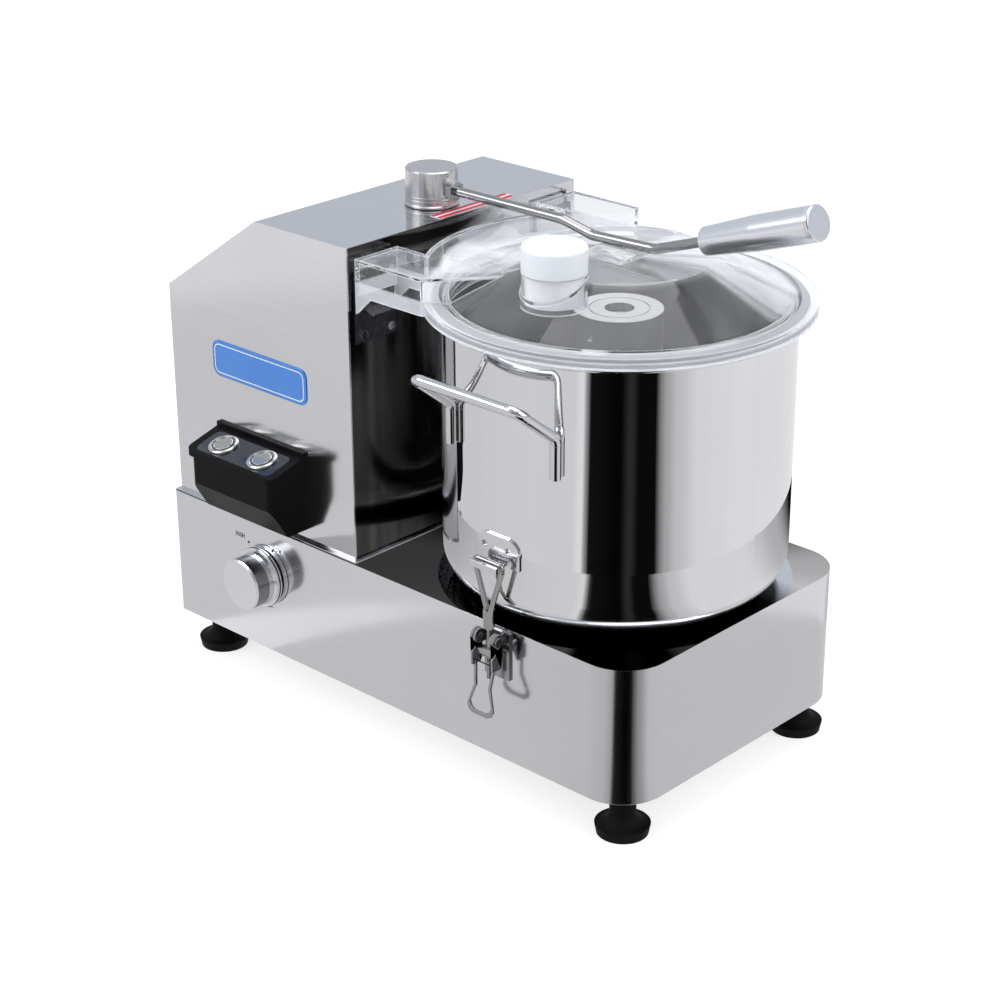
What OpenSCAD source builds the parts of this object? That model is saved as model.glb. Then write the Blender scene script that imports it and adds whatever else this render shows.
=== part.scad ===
// Bowl cutter for kitchens: a bladed hub spins in a round bowl under a clear lid.
// Millimetres. +X runs from the motor tower to the bowl, -Y is the side with the knob and
// the switches, +Z is up. The floor is z = 0 and the origin is under the middle of the whole.

/* [Base] */
// Length of the base box
base_l = 520; // [490:5:560]
// Width of the base box
base_w = 274; // [262:2:300]
// Height of the base box without its feet
base_h = 115; // [95:1:135]
// Radius of the two upright corners at the bowl end
base_r_front = 38; // [20:1:50]
// Radius of the two upright corners at the tower end
base_r_rear = 4; // [2.5:0.5:10]
// Thickness of the stainless sheet
sheet_t = 1.5; // [1:0.1:2]

/* [Feet] */
// Height of a foot under the base
foot_h = 35; // [25:1:45]
// Largest radius of a foot
foot_r = 22; // [18:0.5:26]
// Radius of a foot's neck
foot_neck_r = 10.5; // [9:0.5:13]
// Distance of a foot's axis from the ends of the base
foot_in_x = 26; // [24:1:45]
// Distance of a foot's axis from the sides of the base
foot_in_y = 26; // [24:1:45]

/* [Tower] */
// Length of the motor tower along the base
tower_l = 219; // [205:1:225]
// Height of the motor tower above the deck
tower_h = 265; // [255:1:285]
// Ledge of deck left beside and behind the tower
tower_in = 5; // [3:0.5:8]
// Length of the slope at the tower's rear top edge
slope_l = 113; // [60:1:120]
// Height of that slope
slope_h = 77; // [40:1:90]

/* [Bowl] */
// Distance of the bowl's axis in front of the middle of the base
bowl_x = 128; // [126:1:132]
// Outer radius of the bowl
bowl_r = 138; // [132:1:140]
// Height of the bowl
bowl_h = 224; // [210:1:232]
// Wall of the bowl
bowl_t = 1.5; // [1:0.1:2.5]
// Outer radius of the curve between wall and bottom
bowl_fillet = 28; // [15:1:40]
// Radius of the column in the middle of the bowl
column_r = 24; // [20:0.5:26]
// Height of that column
column_h = 150; // [120:1:165]

/* [Lid] */
// Outer radius of the lid's ring
ring_r = 152; // [148:1:156]
// Thickness of the ring
ring_t = 9; // [6:0.1:12]
// Width of the ring
ring_w = 18; // [12:1:22]
// Wall of the clear lid
lid_t = 3; // [2:0.2:4]
// Radius of the flat top of the lid
lid_top_r = 73; // [65:1:80]
// Rise of the lid's cone from ring to top
lid_rise = 30; // [24:1:36]
// Width of an arm at the rear of the lid
ear_w = 46; // [38:1:50]
// Height of the arm's top above the underside of the ring
ear_h = 29.5; // [26:0.5:32]
// Radius of the feed plug and of the tube that it closes
port_r = 25; // [20:0.5:27]
// Distance of the feed tube from the lid's axis
port_d = 75; // [72:1:78]

/* [Lever] */
// Distance of the lever's hub behind the tower's front
hub_back = 37.5; // [30:0.5:50]
// Radius of the hub
lever_hub_r = 21.6; // [18:0.2:24]
// Height of the hub
lever_hub_h = 28; // [24:0.5:34]
// Radius of the rod
rod_r = 4; // [3:0.25:5]
// Rise of the lever's grip in degrees
grip_rise = 19; // [10:1:25]
// Length of the grip
grip_l = 106; // [90:1:120]
// Radius of the grip at its free end
grip_r = 13.5; // [11:0.5:16]

/* [Controls] */
// Length of the switch box
box_l = 107; // [96:1:120]
// Depth of the switch box
box_d = 39; // [34:1:46]
// Height of the switch box
box_h = 70; // [62:1:80]
// Distance between the two buttons
button_gap = 48; // [36:1:54]
// Radius of a button
button_r = 8.5; // [7:0.25:9]
// Travel of a button
button_travel = 2.5; // [1:0.25:3]
// Radius of the speed knob
knob_r = 22.5; // [18:0.5:26]
// Distance that the knob stands out
knob_out = 26; // [20:1:30]

/* [Latches] */
// Distance between the latch's pivot and the trunnion of its bail
latch_throw = 13; // [11:0.5:14]
// Length of the bail from the trunnion to its hook bar
bail_l = 77; // [72:1:80]
// Length of the latch's lever
latch_lever_l = 65; // [56:1:72]

/* [Knife] */
// Radius of the knife's hub
hub_r = 34.5; // [30:0.5:36]
// Reach of the upper blade
blade_reach = 126; // [100:1:128]
// Thickness of a blade
blade_t = 2.5; // [2:0.1:4]

/* [Drive] */
// Radius of the drive shaft
shaft_r = 10; // [8:0.5:12]
// Radius of the pulley under the bowl
pulley_r = 46; // [38:1:54]
// Radius of the pulley on the motor
motor_pulley_r = 23; // [20:1:30]
// Radius of the motor
motor_r = 70; // [60:1:78]
// Height of the motor
motor_h = 190; // [160:1:200]

/* [Hidden] */
$fn = 48;

// One overrun serves all cuts, and the gaps serve all seats.
over = 1;
fit_gap = 0.05;
seat_gap = 0.3;

// Heights and places that follow from the driving sizes.
deck_z = foot_h + base_h;
plate_gap = 0.3;
tower_w = base_w - 2 * tower_in;
tower_rear_x = -base_l / 2 + tower_in;
// On a base too short for its full length, the tower ends clear of the lid's ring.
ring_clear = 5;
tower_front_x = min(tower_rear_x + tower_l, bowl_x - ring_r - ring_clear);
tower_span = tower_front_x - tower_rear_x;
tower_top_z = deck_z + tower_h;
seat_t = 3;
bowl_z = deck_z + seat_t;
rim_top_z = bowl_z + bowl_h;
ring_top_z = rim_top_z + ring_t;
lid_top_z = ring_top_z + lid_rise;
ring_in_r = ring_r - ring_w;
hub_x = tower_front_x - hub_back;

// Shapes that several pieces share.

// Rounded rectangle with its own corner radii at the +X and at the -X end.
module rounded_plan(l, w, r_front, r_rear) {
  translate([-l / 2 + r_rear, -w / 2]) square([l - r_rear - r_front, w]);
  translate([-l / 2, -w / 2 + r_rear]) square([r_rear, w - 2 * r_rear]);
  translate([l / 2 - r_front, -w / 2 + r_front]) square([r_front, w - 2 * r_front]);
  for (s = [-1, 1]) {
    translate([l / 2 - r_front, s * (w / 2 - r_front)]) circle(r_front);
    translate([-l / 2 + r_rear, s * (w / 2 - r_rear)]) circle(r_rear);
  }
}

// Slot with round ends along X.
module slot_plan(l, w) {
  translate([-(l - w) / 2, -w / 2]) square([l - w, w]);
  for (s = [-1, 1]) translate([s * (l - w) / 2, 0]) circle(w / 2);
}

module tube(r_out, r_in, h) {
  difference() {
    cylinder(r = r_out, h = h);
    translate([0, 0, -over]) cylinder(r = r_in, h = h + 2 * over);
  }
}

function unit_of(v) = v / norm(v);

// Round rod along the points p, bent with the radius bend at each inner point. A bend is a
// hair thicker than the straights and reaches a little way over their ends.
bend_swell = 0.15;

module bent_rod(p, r, bend) {
  last = len(p) - 1;
  dirs = [for (i = [0:last - 1]) unit_of(p[i + 1] - p[i])];
  turns = [for (i = [1:last - 1]) acos(dirs[i - 1] * dirs[i])];
  cuts = concat([0], [for (a = turns) bend * tan(a / 2)], [0]);
  for (i = [0:last - 1]) {
    start = p[i] + dirs[i] * cuts[i];
    reach = norm(p[i + 1] - p[i]) - cuts[i] - cuts[i + 1];
    along(start, dirs[i]) cylinder(r = r, h = reach);
  }
  for (i = [1:last - 1]) {
    d = dirs[i - 1];
    m = unit_of(dirs[i] - d * (dirs[i] * d));
    c = p[i] - d * cuts[i] + m * bend;
    n = cross(d, m);
    lap = asin(sqrt(bend_swell / bend));
    multmatrix([[-m[0], d[0], n[0], c[0]], [-m[1], d[1], n[1], c[1]], [-m[2], d[2], n[2], c[2]], [0, 0,
      0, 1]])
      rotate(-lap) rotate_extrude(angle = turns[i - 1] + 2 * lap) translate([bend, 0])
        circle(r + bend_swell);
  }
}

// Stands the Z axis of its children at a point along a direction.
module along(at, d) {
  tilt = acos(d[2]);
  turn = (d[0] == 0 && d[1] == 0) ? 0 : atan2(d[1], d[0]);
  translate(at) rotate([0, tilt, turn]) children();
}

// Puts a piece, and its mirror image, on the two long sides: -1 is the control side.
module on_side(side) {
  if (side < 0) children();
  else mirror([0, 1, 0]) children();
}

// Base.
deck_hole_r = 34;
motor_hole_gap = 6;
motor_hole_r = motor_pulley_r + motor_hole_gap;
motor_x = tower_rear_x + tower_span / 2;
gland_r = 8;
gland_up_share = 0.45;
gland_z = foot_h + base_h * gland_up_share;
knob_x = motor_x;
knob_down_share = 0.4;
knob_z = deck_z - base_h * knob_down_share;
pot_bush_r = 4.5;

module base_shell() {
  color("silver") difference() {
    translate([0, 0, foot_h]) linear_extrude(base_h)
      rounded_plan(base_l, base_w, base_r_front, base_r_rear);
    translate([0, 0, foot_h - over]) linear_extrude(base_h + over - sheet_t)
      rounded_plan(base_l - 2 * sheet_t, base_w - 2 * sheet_t, base_r_front - sheet_t,
        base_r_rear - sheet_t);
    translate([bowl_x, 0, deck_z - sheet_t - over]) cylinder(r = deck_hole_r, h = sheet_t + 2 * over);
    translate([motor_x, 0, deck_z - sheet_t - over]) cylinder(r = motor_hole_r, h = sheet_t + 2 * over);
    translate([knob_x, -base_w / 2 - over, knob_z]) rotate([-90, 0, 0])
      cylinder(r = pot_bush_r + fit_gap, h = sheet_t + 2 * over);
    translate([-base_l / 2 - over, 0, gland_z]) rotate([0, 90, 0])
      cylinder(r = gland_r + fit_gap, h = sheet_t + 2 * over);
  }
}

vent_w = 5;
vent_l = 60;
vent_pitch = 14;
vent_count = 7;
screw_r = 3;
foot_x = base_l / 2 - foot_in_x;
foot_y = base_w / 2 - foot_in_y;

module bottom_plate() {
  color("darkgray") difference() {
    translate([0, 0, foot_h]) linear_extrude(sheet_t)
      rounded_plan(base_l - 2 * (sheet_t + plate_gap), base_w - 2 * (sheet_t + plate_gap),
                   base_r_front - sheet_t - plate_gap, base_r_rear - sheet_t - plate_gap);
    for (i = [0:vent_count - 1]) for (s = [-1, 1])
      translate([s * bowl_x, (i - (vent_count - 1) / 2) * vent_pitch, foot_h - over])
        linear_extrude(sheet_t + 2 * over) slot_plan(vent_l, vent_w);
    for (sx = [-1, 1]) for (sy = [-1, 1]) translate([sx * foot_x, sy * foot_y, foot_h - over])
      cylinder(r = screw_r + fit_gap, h = sheet_t + 2 * over);
  }
}

// Feet: moulded rubber cones with a waist, screwed up into the bottom plate.
foot_edge = 1.5;
foot_sole_r = foot_r - foot_edge;
foot_wide_z = 8;
foot_bore_r = 7;
foot_floor_z = 18;
foot_collar = 3;
foot_top_r = foot_neck_r + foot_collar;
foot_top_t = 4;

module foot(sx, sy) {
  waist_r = foot_r - foot_neck_r;
  color([0.07, 0.07, 0.07]) translate([sx * foot_x, sy * foot_y, 0]) difference() {
    rotate_extrude() difference() {
      polygon([[0, 0], [foot_sole_r, 0], [foot_r, foot_wide_z], [foot_neck_r, foot_wide_z + waist_r],
               [foot_neck_r, foot_h - foot_top_t], [foot_top_r, foot_h - foot_top_t],
               [foot_top_r, foot_h], [0, foot_h]]);
      translate([foot_r, foot_wide_z + waist_r]) circle(waist_r);
    }
    translate([0, 0, -over]) cylinder(r = foot_bore_r, h = foot_floor_z + over);
    translate([0, 0, foot_floor_z - over]) cylinder(r = screw_r + fit_gap, h = foot_h);
  }
}

screw_head_h = 4;
nut_r = 5.5;
nut_h = 4;

module foot_screws() {
  color("gray") for (sx = [-1, 1]) for (sy = [-1, 1]) translate([sx * foot_x, sy * foot_y, 0]) {
    translate([0, 0, foot_floor_z - screw_head_h]) cylinder(r = nut_r, h = screw_head_h);
    translate([0, 0, foot_floor_z]) cylinder(r = screw_r, h = foot_h - foot_floor_z + sheet_t + nut_h);
    translate([0, 0, foot_h + sheet_t]) cylinder(r = nut_r, h = nut_h, $fn = 6);
  }
}

// Tower: a bent wrap of front, top, slope and rear between two flat side panels.
slope_len = norm([slope_l, slope_h]);
inner_rear_z = tower_h - slope_h - sheet_t * (slope_len - slope_h) / slope_l;
inner_top_x = slope_l + sheet_t * (slope_len - slope_l) / slope_h;
louvre_l = 90;
louvre_w = 4;
louvre_pitch = 12;
louvre_count = 9;
louvre_z = 40;

module tower_outline() {
  polygon([[0, 0], [tower_span, 0], [tower_span, tower_h], [slope_l, tower_h], [0, tower_h - slope_h]]);
}

module tower_wrap() {
  in = sheet_t;
  band_w = tower_w - 2 * sheet_t;
  color("silver") difference() {
    translate([tower_rear_x, band_w / 2, deck_z]) rotate([90, 0, 0]) linear_extrude(band_w) difference() {
      tower_outline();
      polygon([[in, -over], [tower_span - in, -over], [tower_span - in, tower_h - in],
               [inner_top_x, tower_h - in], [in, inner_rear_z]]);
    }
    translate([hub_x, 0, tower_top_z - sheet_t - over])
      cylinder(r = lever_shaft_r + fit_gap, h = sheet_t + 2 * over);
    for (i = [0:louvre_count - 1])
      translate([tower_rear_x - over, 0, deck_z + louvre_z + i * louvre_pitch]) rotate([0, 90, 0])
        linear_extrude(sheet_t + 2 * over) rotate(90) slot_plan(louvre_l, louvre_w);
    for (s = [-1, 1]) for (p = bracket_holes) translate([tower_front_x - sheet_t - over, s * p[0], p[1]])
      rotate([0, 90, 0]) cylinder(r = small_screw_r + fit_gap, h = sheet_t + 2 * over);
  }
}

// Window behind the switch box, through which its wires run into the tower.
wire_hole = 30;

module tower_side(side) {
  color("lightgray") on_side(side) difference() {
    translate([tower_rear_x, -tower_w / 2 + sheet_t, deck_z]) rotate([90, 0, 0])
      linear_extrude(sheet_t) tower_outline();
    if (side < 0) translate([knob_x - wire_hole / 2, -tower_w / 2 - over,
      box_z + box_h / 2 - wire_hole / 2])
      cube([wire_hole, sheet_t + 2 * over, wire_hole]);
  }
}

// Thin strip that seals the tower's foot to the deck.
strip_w = 3.5;
strip_h = 1.2;

module tower_flange() {
  color("gainsboro") translate([tower_rear_x, 0, deck_z]) difference() {
    translate([-strip_w, -tower_w / 2 - strip_w, 0])
      cube([tower_span + 2 * strip_w, tower_w + 2 * strip_w, strip_h]);
    translate([0, -tower_w / 2, -over]) cube([tower_span, tower_w, strip_h + 2 * over]);
  }
}

// Brackets on the tower's front: a plate with two screws at each end and a shelf bent out of it.
bracket_t = 1.5;
bracket_w = 44;
bracket_in = 12;
bracket_y = base_w / 2 - bracket_in;
bracket_low_share = 0.70;
bracket_high_share = 0.925;
bracket_low_z = deck_z + tower_h * bracket_low_share;
bracket_high_z = deck_z + tower_h * bracket_high_share;
shelf_out = 14;
shelf_w = 34;
shelf_drop = 8;
shelf_down = 9;
shelf_z = rim_top_z - shelf_down;
small_screw_r = 2;
small_head_r = 3.6;
small_head_h = 2;
hole_in = 7;
bracket_holes = [for (z = [bracket_low_z + hole_in, bracket_high_z - hole_in])
                 for (y = [bracket_y - hole_in, bracket_y - bracket_w + hole_in]) [y, z]];

module lid_brackets() {
  color([0.25, 0.25, 0.26]) for (s = [-1, 1]) on_side(s) {
    difference() {
      translate([tower_front_x, -bracket_y, bracket_low_z])
        cube([bracket_t, bracket_w, bracket_high_z - bracket_low_z]);
      for (p = bracket_holes) translate([tower_front_x - over, -p[0], p[1]]) rotate([0, 90, 0])
        cylinder(r = small_screw_r + fit_gap, h = bracket_t + 2 * over);
    }
    translate([tower_front_x + bracket_t, -bracket_y + (bracket_w - shelf_w) / 2, shelf_z])
      rotate([-90, 0, 0])
      linear_extrude(shelf_w) polygon([[0, 0], [0, bracket_t], [shelf_out, shelf_drop], [shelf_out,
        shelf_drop - bracket_t]]);
  }
}

module bracket_screws() {
  color("silver") for (s = [-1, 1]) for (p = bracket_holes)
    translate([tower_front_x + bracket_t, s * p[0], p[1]]) rotate([0, 90, 0]) {
      cylinder(r = small_head_r, h = small_head_h);
      translate([0, 0, -bracket_t - sheet_t - nut_h])
        cylinder(r = small_screw_r, h = bracket_t + sheet_t + nut_h);
    }
}

// Switch box: a moulded box on the control side with a raised rim at the wall, a panel that
// slopes outwards, a wide lip round the panel and a lower front that falls back.
box_up = 10;
box_z = deck_z + box_up;
box_wall = 2.5;
box_lip = 3;
box_lip_h = 5;
box_rim_t = 3;
box_rim_h = 4;
box_r = 8;
panel_fall = 10;
chin_h = 26;
chin_in = 16;
panel_angle = atan(panel_fall / (box_d - box_rim_t));
panel_back_z = box_z + box_h - box_rim_h;
panel_front_z = panel_back_z - panel_fall;

// Side view of the box: first number outwards from the wall, second number up.
module box_profile(inset) {
  body_d = box_d - box_lip - inset;
  polygon([[-inset, box_z + inset], [body_d - chin_in, box_z + inset], [body_d, box_z + chin_h],
           [body_d, panel_front_z - inset], [0, panel_back_z - inset], [-inset, panel_back_z - inset]]);
}

module box_lip_profile() {
  polygon([[0, panel_back_z - box_lip_h], [box_d, panel_front_z - box_lip_h], [box_d, panel_front_z],
           [box_rim_t, panel_back_z], [box_rim_t, panel_back_z + box_rim_h], [0,
             panel_back_z + box_rim_h]]);
}

// Turns a side view into a bar along X that starts at the tower's side panel.
module side_bar(l) {
  translate([knob_x - l / 2, -tower_w / 2, 0]) rotate([90, 0, 90]) linear_extrude(l)
    mirror([1, 0, 0]) children();
}

module box_plan(l, d, r) {
  translate([knob_x, -tower_w / 2, 0]) {
    translate([-l / 2, -d + r]) square([l, d - r + box_wall]);
    translate([-l / 2 + r, -d]) square([l - 2 * r, r + over]);
    for (s = [-1, 1]) translate([s * (l / 2 - r), -d + r]) circle(r);
  }
}

// Frame on the sloping panel, at its middle line: its Z axis is the way a button points.
panel_mid_d = (box_d + box_rim_t) / 2;
panel_mid_z = (panel_back_z + panel_front_z) / 2;

module on_panel(dx) {
  translate([knob_x + dx, -tower_w / 2 - panel_mid_d, panel_mid_z]) rotate([panel_angle, 0, 0]) children();
}

inlay_t = 1.6;
inlay_in = 8;
inlay_l = box_l - 2 * inlay_in;
inlay_w = 29;
inlay_r = 6;
bezel_r = 13;
bezel_t = 1.8;
barrel_r = 10.5;
barrel_h = 14;

module control_box() {
  color([0.06, 0.06, 0.065]) difference() {
    union() {
      intersection() {
        side_bar(box_l - 2 * box_lip) box_profile(0);
        translate([0, 0, box_z]) linear_extrude(box_h)
          box_plan(box_l - 2 * box_lip, box_d - box_lip, box_r - box_lip / 2);
      }
      intersection() {
        side_bar(box_l) box_lip_profile();
        translate([0, 0, box_z]) linear_extrude(box_h) box_plan(box_l, box_d, box_r);
      }
    }
    intersection() {
      side_bar(box_l - 2 * box_lip - 2 * box_wall) box_profile(box_wall);
      translate([0, 0, box_z]) linear_extrude(box_h)
        box_plan(box_l - 2 * box_lip - 2 * box_wall, box_d - box_lip - box_wall, box_r - box_wall);
    }
    on_panel(0) translate([0, 0, -inlay_t]) linear_extrude(box_rim_h)
      rounded_plan(inlay_l + 2 * plate_gap, inlay_w + 2 * plate_gap, inlay_r, inlay_r);
    for (s = [-1, 1]) on_panel(s * button_gap / 2) translate([0, 0, -barrel_h])
      cylinder(r = barrel_r + fit_gap, h = barrel_h + over);
  }
}

module button_plate() {
  color([0.12, 0.13, 0.16]) difference() {
    on_panel(0) translate([0, 0, -inlay_t]) linear_extrude(inlay_t)
      rounded_plan(inlay_l, inlay_w, inlay_r, inlay_r);
    for (s = [-1, 1]) on_panel(s * button_gap / 2) translate([0, 0, -inlay_t - over])
      cylinder(r = barrel_r + fit_gap, h = inlay_t + 2 * over);
  }
}

barrel_floor = 2;
stem_r = 2.5;

module button_bezels() {
  color("silver") for (s = [-1, 1]) on_panel(s * button_gap / 2) difference() {
    union() {
      cylinder(r = bezel_r, h = bezel_t);
      translate([0, 0, -barrel_h]) cylinder(r = barrel_r, h = barrel_h + bezel_t / 2);
    }
    translate([0, 0, -barrel_h + barrel_floor]) cylinder(r = button_r + seat_gap, h = barrel_h + bezel_t);
    translate([0, 0, -barrel_h - over]) cylinder(r = stem_r + fit_gap, h = barrel_floor + 2 * over);
  }
}

button_proud = 0.6;
cap_h = 5;
stem_out = 3;

module push_button(dx) {
  color("gainsboro") on_panel(dx) {
    translate([0, 0, bezel_t + button_proud - cap_h]) cylinder(r = button_r, h = cap_h);
    translate([0, 0, -barrel_h - stem_out]) cylinder(r = stem_r,
      h = barrel_h + stem_out + bezel_t + button_proud - cap_h);
  }
}

// Speed knob: turned aluminium, with a wider skirt against the base and a mark in its face.
skirt_out = 3.5;
skirt_r = knob_r + skirt_out;
skirt_t = 5;
step_t = 3;
knob_gap = 1;
knob_edge = 1.5;
knob_bore_r = 3;
knob_bore_l = 15;
mark_w = 1.4;
mark_l = 9;

module speed_knob() {
  color("lightgray") translate([knob_x, -base_w / 2 - knob_gap, knob_z]) rotate([90, 0, 0]) difference() {
    rotate_extrude() polygon([[0, 0], [skirt_r - knob_edge, 0], [skirt_r, knob_edge], [skirt_r, skirt_t],
      [knob_r + knob_edge, skirt_t], [knob_r, skirt_t + step_t], [knob_r, knob_out - knob_edge],
      [knob_r - knob_edge, knob_out], [0, knob_out]]);
    translate([0, 0, -over]) cylinder(r = knob_bore_r, h = knob_bore_l + over);
    translate([-mark_w / 2, skirt_r - mark_l / 2, skirt_t - mark_w / 2]) cube([mark_w, mark_l, mark_w]);
  }
}

pot_r = 12;
pot_h = 14;
pot_bush_h = 8;
pot_gap = 0.6;

module knob_shaft() {
  color("gray") translate([knob_x, -base_w / 2 - knob_gap - knob_bore_l, knob_z]) rotate([-90, 0, 0])
    cylinder(r = knob_bore_r, h = knob_bore_l + knob_gap + sheet_t + pot_bush_h);
}

module speed_pot() {
  color("darkslategray") translate([knob_x, -base_w / 2 - knob_gap + pot_gap, knob_z])
    rotate([-90, 0, 0]) difference() {
    union() {
      cylinder(r = pot_bush_r, h = knob_gap - pot_gap + sheet_t + over);
      translate([0, 0, knob_gap - pot_gap + sheet_t]) cylinder(r = pot_r, h = pot_h);
    }
    translate([0, 0, -over]) cylinder(r = knob_bore_r + fit_gap,
      h = knob_gap + sheet_t + pot_bush_h + 2 * over);
  }
}

// Toggle latches: a bracket on the base carries a lever, the lever carries a trunnion, and the
// trunnion holds the threaded stem of a wire bail whose bar sits in a hook on the bowl.
latch_out = 13;
latch_drop = 6;
latch_over = 2.5;
// The bails keep clear of the bowl's wall, also where the bowl is wider than the base.
bail_room = 9.5;
pivot_y = -max(base_w / 2 + latch_out, bowl_r + bail_room + latch_over);
pivot_z = deck_z - latch_drop;
trunnion_y = pivot_y + latch_over;
trunnion_z = pivot_z - latch_throw;
hook_bar_z = trunnion_z + bail_l;
latch_x = bowl_x;

latch_bracket_t = 2;
latch_bracket_w = 26;
latch_bracket_h = 40;
latch_bracket_top = 3;
latch_ear_x = 8;
latch_ear_t = 2;
boss_r = 6;
rivet_r = 2.5;
rivet_head_r = 4;
rivet_head_t = 1;
lever_gap = 0.6;
latch_plate_t = 2;
lever_x = latch_ear_x + latch_ear_t / 2 + lever_gap + latch_plate_t / 2;
base_side_y = -base_w / 2;

module latch_bracket(side) {
  color("silver") on_side(side) translate([latch_x, 0, 0]) {
    translate([-latch_bracket_w / 2, base_side_y - latch_bracket_t,
      deck_z - latch_bracket_top - latch_bracket_h])
      cube([latch_bracket_w, latch_bracket_t, latch_bracket_h]);
    for (s = [-1, 1]) translate([s * latch_ear_x - latch_ear_t / 2, 0, 0]) difference() {
      union() {
        translate([0, pivot_y, pivot_z]) rotate([0, 90, 0]) cylinder(r = boss_r, h = latch_ear_t);
        translate([0, pivot_y, pivot_z - boss_r])
          cube([latch_ear_t, -pivot_y + base_side_y - latch_bracket_t,
            boss_r + latch_drop - latch_bracket_top]);
      }
      translate([-over, pivot_y, pivot_z]) rotate([0, 90, 0])
        cylinder(r = rivet_r, h = latch_ear_t + 2 * over);
    }
  }
}

module latch_rivets() {
  color("gainsboro") for (side = [-1, 1]) on_side(side) for (s = [-1, 1])
    translate([latch_x, pivot_y, pivot_z]) rotate([0, 90 * s, 0]) {
      translate([0, 0, latch_ear_x - latch_ear_t / 2])
        cylinder(r = rivet_r, h = lever_x + latch_plate_t / 2 - latch_ear_x + latch_ear_t / 2 + seat_gap);
      translate([0, 0, lever_x + latch_plate_t / 2 + seat_gap])
        cylinder(r = rivet_head_r, h = rivet_head_t);
    }
}

trunnion_r = 4.5;
trunnion_pin_r = 2.5;
lever_web_share = 0.55;
lever_kick = 7;

// Lever of a latch: two cheeks, joined near the free end by a web that serves as the finger pull.
module latch_lever(side) {
  web_z = pivot_z - latch_lever_l * lever_web_share;
  end_z = pivot_z - latch_lever_l;
  color("silver") on_side(side) translate([latch_x, 0, 0]) {
    for (s = [-1, 1]) translate([s * lever_x - latch_plate_t / 2, 0, 0]) difference() {
      union() {
        translate([0, pivot_y, pivot_z]) rotate([0, 90, 0]) cylinder(r = boss_r, h = latch_plate_t);
        translate([0, trunnion_y, trunnion_z]) rotate([0, 90, 0]) cylinder(r = boss_r, h = latch_plate_t);
        rotate([90, 0, 90]) linear_extrude(latch_plate_t) polygon([
          [pivot_y + boss_r, pivot_z], [trunnion_y + boss_r, trunnion_z],
          [pivot_y + boss_r / 2, web_z], [pivot_y - lever_kick / 2, end_z],
          [pivot_y - lever_kick - boss_r / 2, end_z], [pivot_y - boss_r, web_z],
          [pivot_y - boss_r, pivot_z]]);
      }
      translate([-over, pivot_y, pivot_z]) rotate([0, 90, 0])
        cylinder(r = rivet_r + fit_gap, h = latch_plate_t + 2 * over);
      translate([-over, trunnion_y, trunnion_z]) rotate([0, 90, 0])
        cylinder(r = trunnion_pin_r + fit_gap, h = latch_plate_t + 2 * over);
    }
    translate([-lever_x, 0, 0]) rotate([90, 0, 90]) linear_extrude(2 * lever_x) polygon([
      [pivot_y - boss_r, web_z - lever_kick], [pivot_y - boss_r + latch_plate_t, web_z - lever_kick],
      [pivot_y - lever_kick - boss_r / 2 + latch_plate_t, end_z],
      [pivot_y - lever_kick - boss_r / 2, end_z]]);
  }
}

wire_r = 2.2;
bail_w = 27;
bail_neck_w = 4.6;
bail_shoulder = 6;
sleeve_l = 15;
sleeve_top = 40;
sleeve_r = 4.6;
stem_thread_r = 2.1;
stem_tail = 22;
bail_bend = 3;

module latch_bail(side) {
  neck_z = hook_bar_z - sleeve_top;
  color("gainsboro") on_side(side) translate([latch_x, trunnion_y, 0]) {
    bent_rod([[-bail_neck_w / 2, 0, neck_z - sleeve_l], [-bail_neck_w / 2, 0, neck_z],
              [-bail_w / 2, 0, hook_bar_z - bail_shoulder], [-bail_w / 2, 0, hook_bar_z],
              [bail_w / 2, 0, hook_bar_z], [bail_w / 2, 0, hook_bar_z - bail_shoulder],
              [bail_neck_w / 2, 0, neck_z], [bail_neck_w / 2, 0, neck_z - sleeve_l]], wire_r, bail_bend);
    translate([0, 0, neck_z - sleeve_l]) cylinder(r = sleeve_r, h = sleeve_l);
    translate([0, 0, trunnion_z - stem_tail])
      cylinder(r = stem_thread_r, h = neck_z - trunnion_z + stem_tail - sleeve_l / 2);
  }
}

module latch_trunnion(side) {
  half = lever_x - latch_plate_t / 2 - seat_gap;
  color("silver") on_side(side) translate([latch_x, trunnion_y, trunnion_z]) difference() {
    rotate([0, 90, 0]) {
      translate([0, 0, -half]) cylinder(r = trunnion_r, h = 2 * half);
      translate([0, 0, -lever_x - latch_plate_t / 2])
        cylinder(r = trunnion_pin_r, h = 2 * lever_x + latch_plate_t);
    }
    translate([0, 0, -trunnion_r - over]) cylinder(r = stem_thread_r + fit_gap,
      h = 2 * (trunnion_r + over));
  }
}

keeper_t = 2;
keeper_w = 46;
keeper_h = 24;
keeper_round = 14;
keeper_hole_r = 2.5;
keeper_hole_gap = 24;
keeper_hole_up = 14;
hook_w = 17;
hook_lip_w = 28;
hook_inner = 2.6;
hook_lip = 3;
hook_gap = 0.6;

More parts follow.
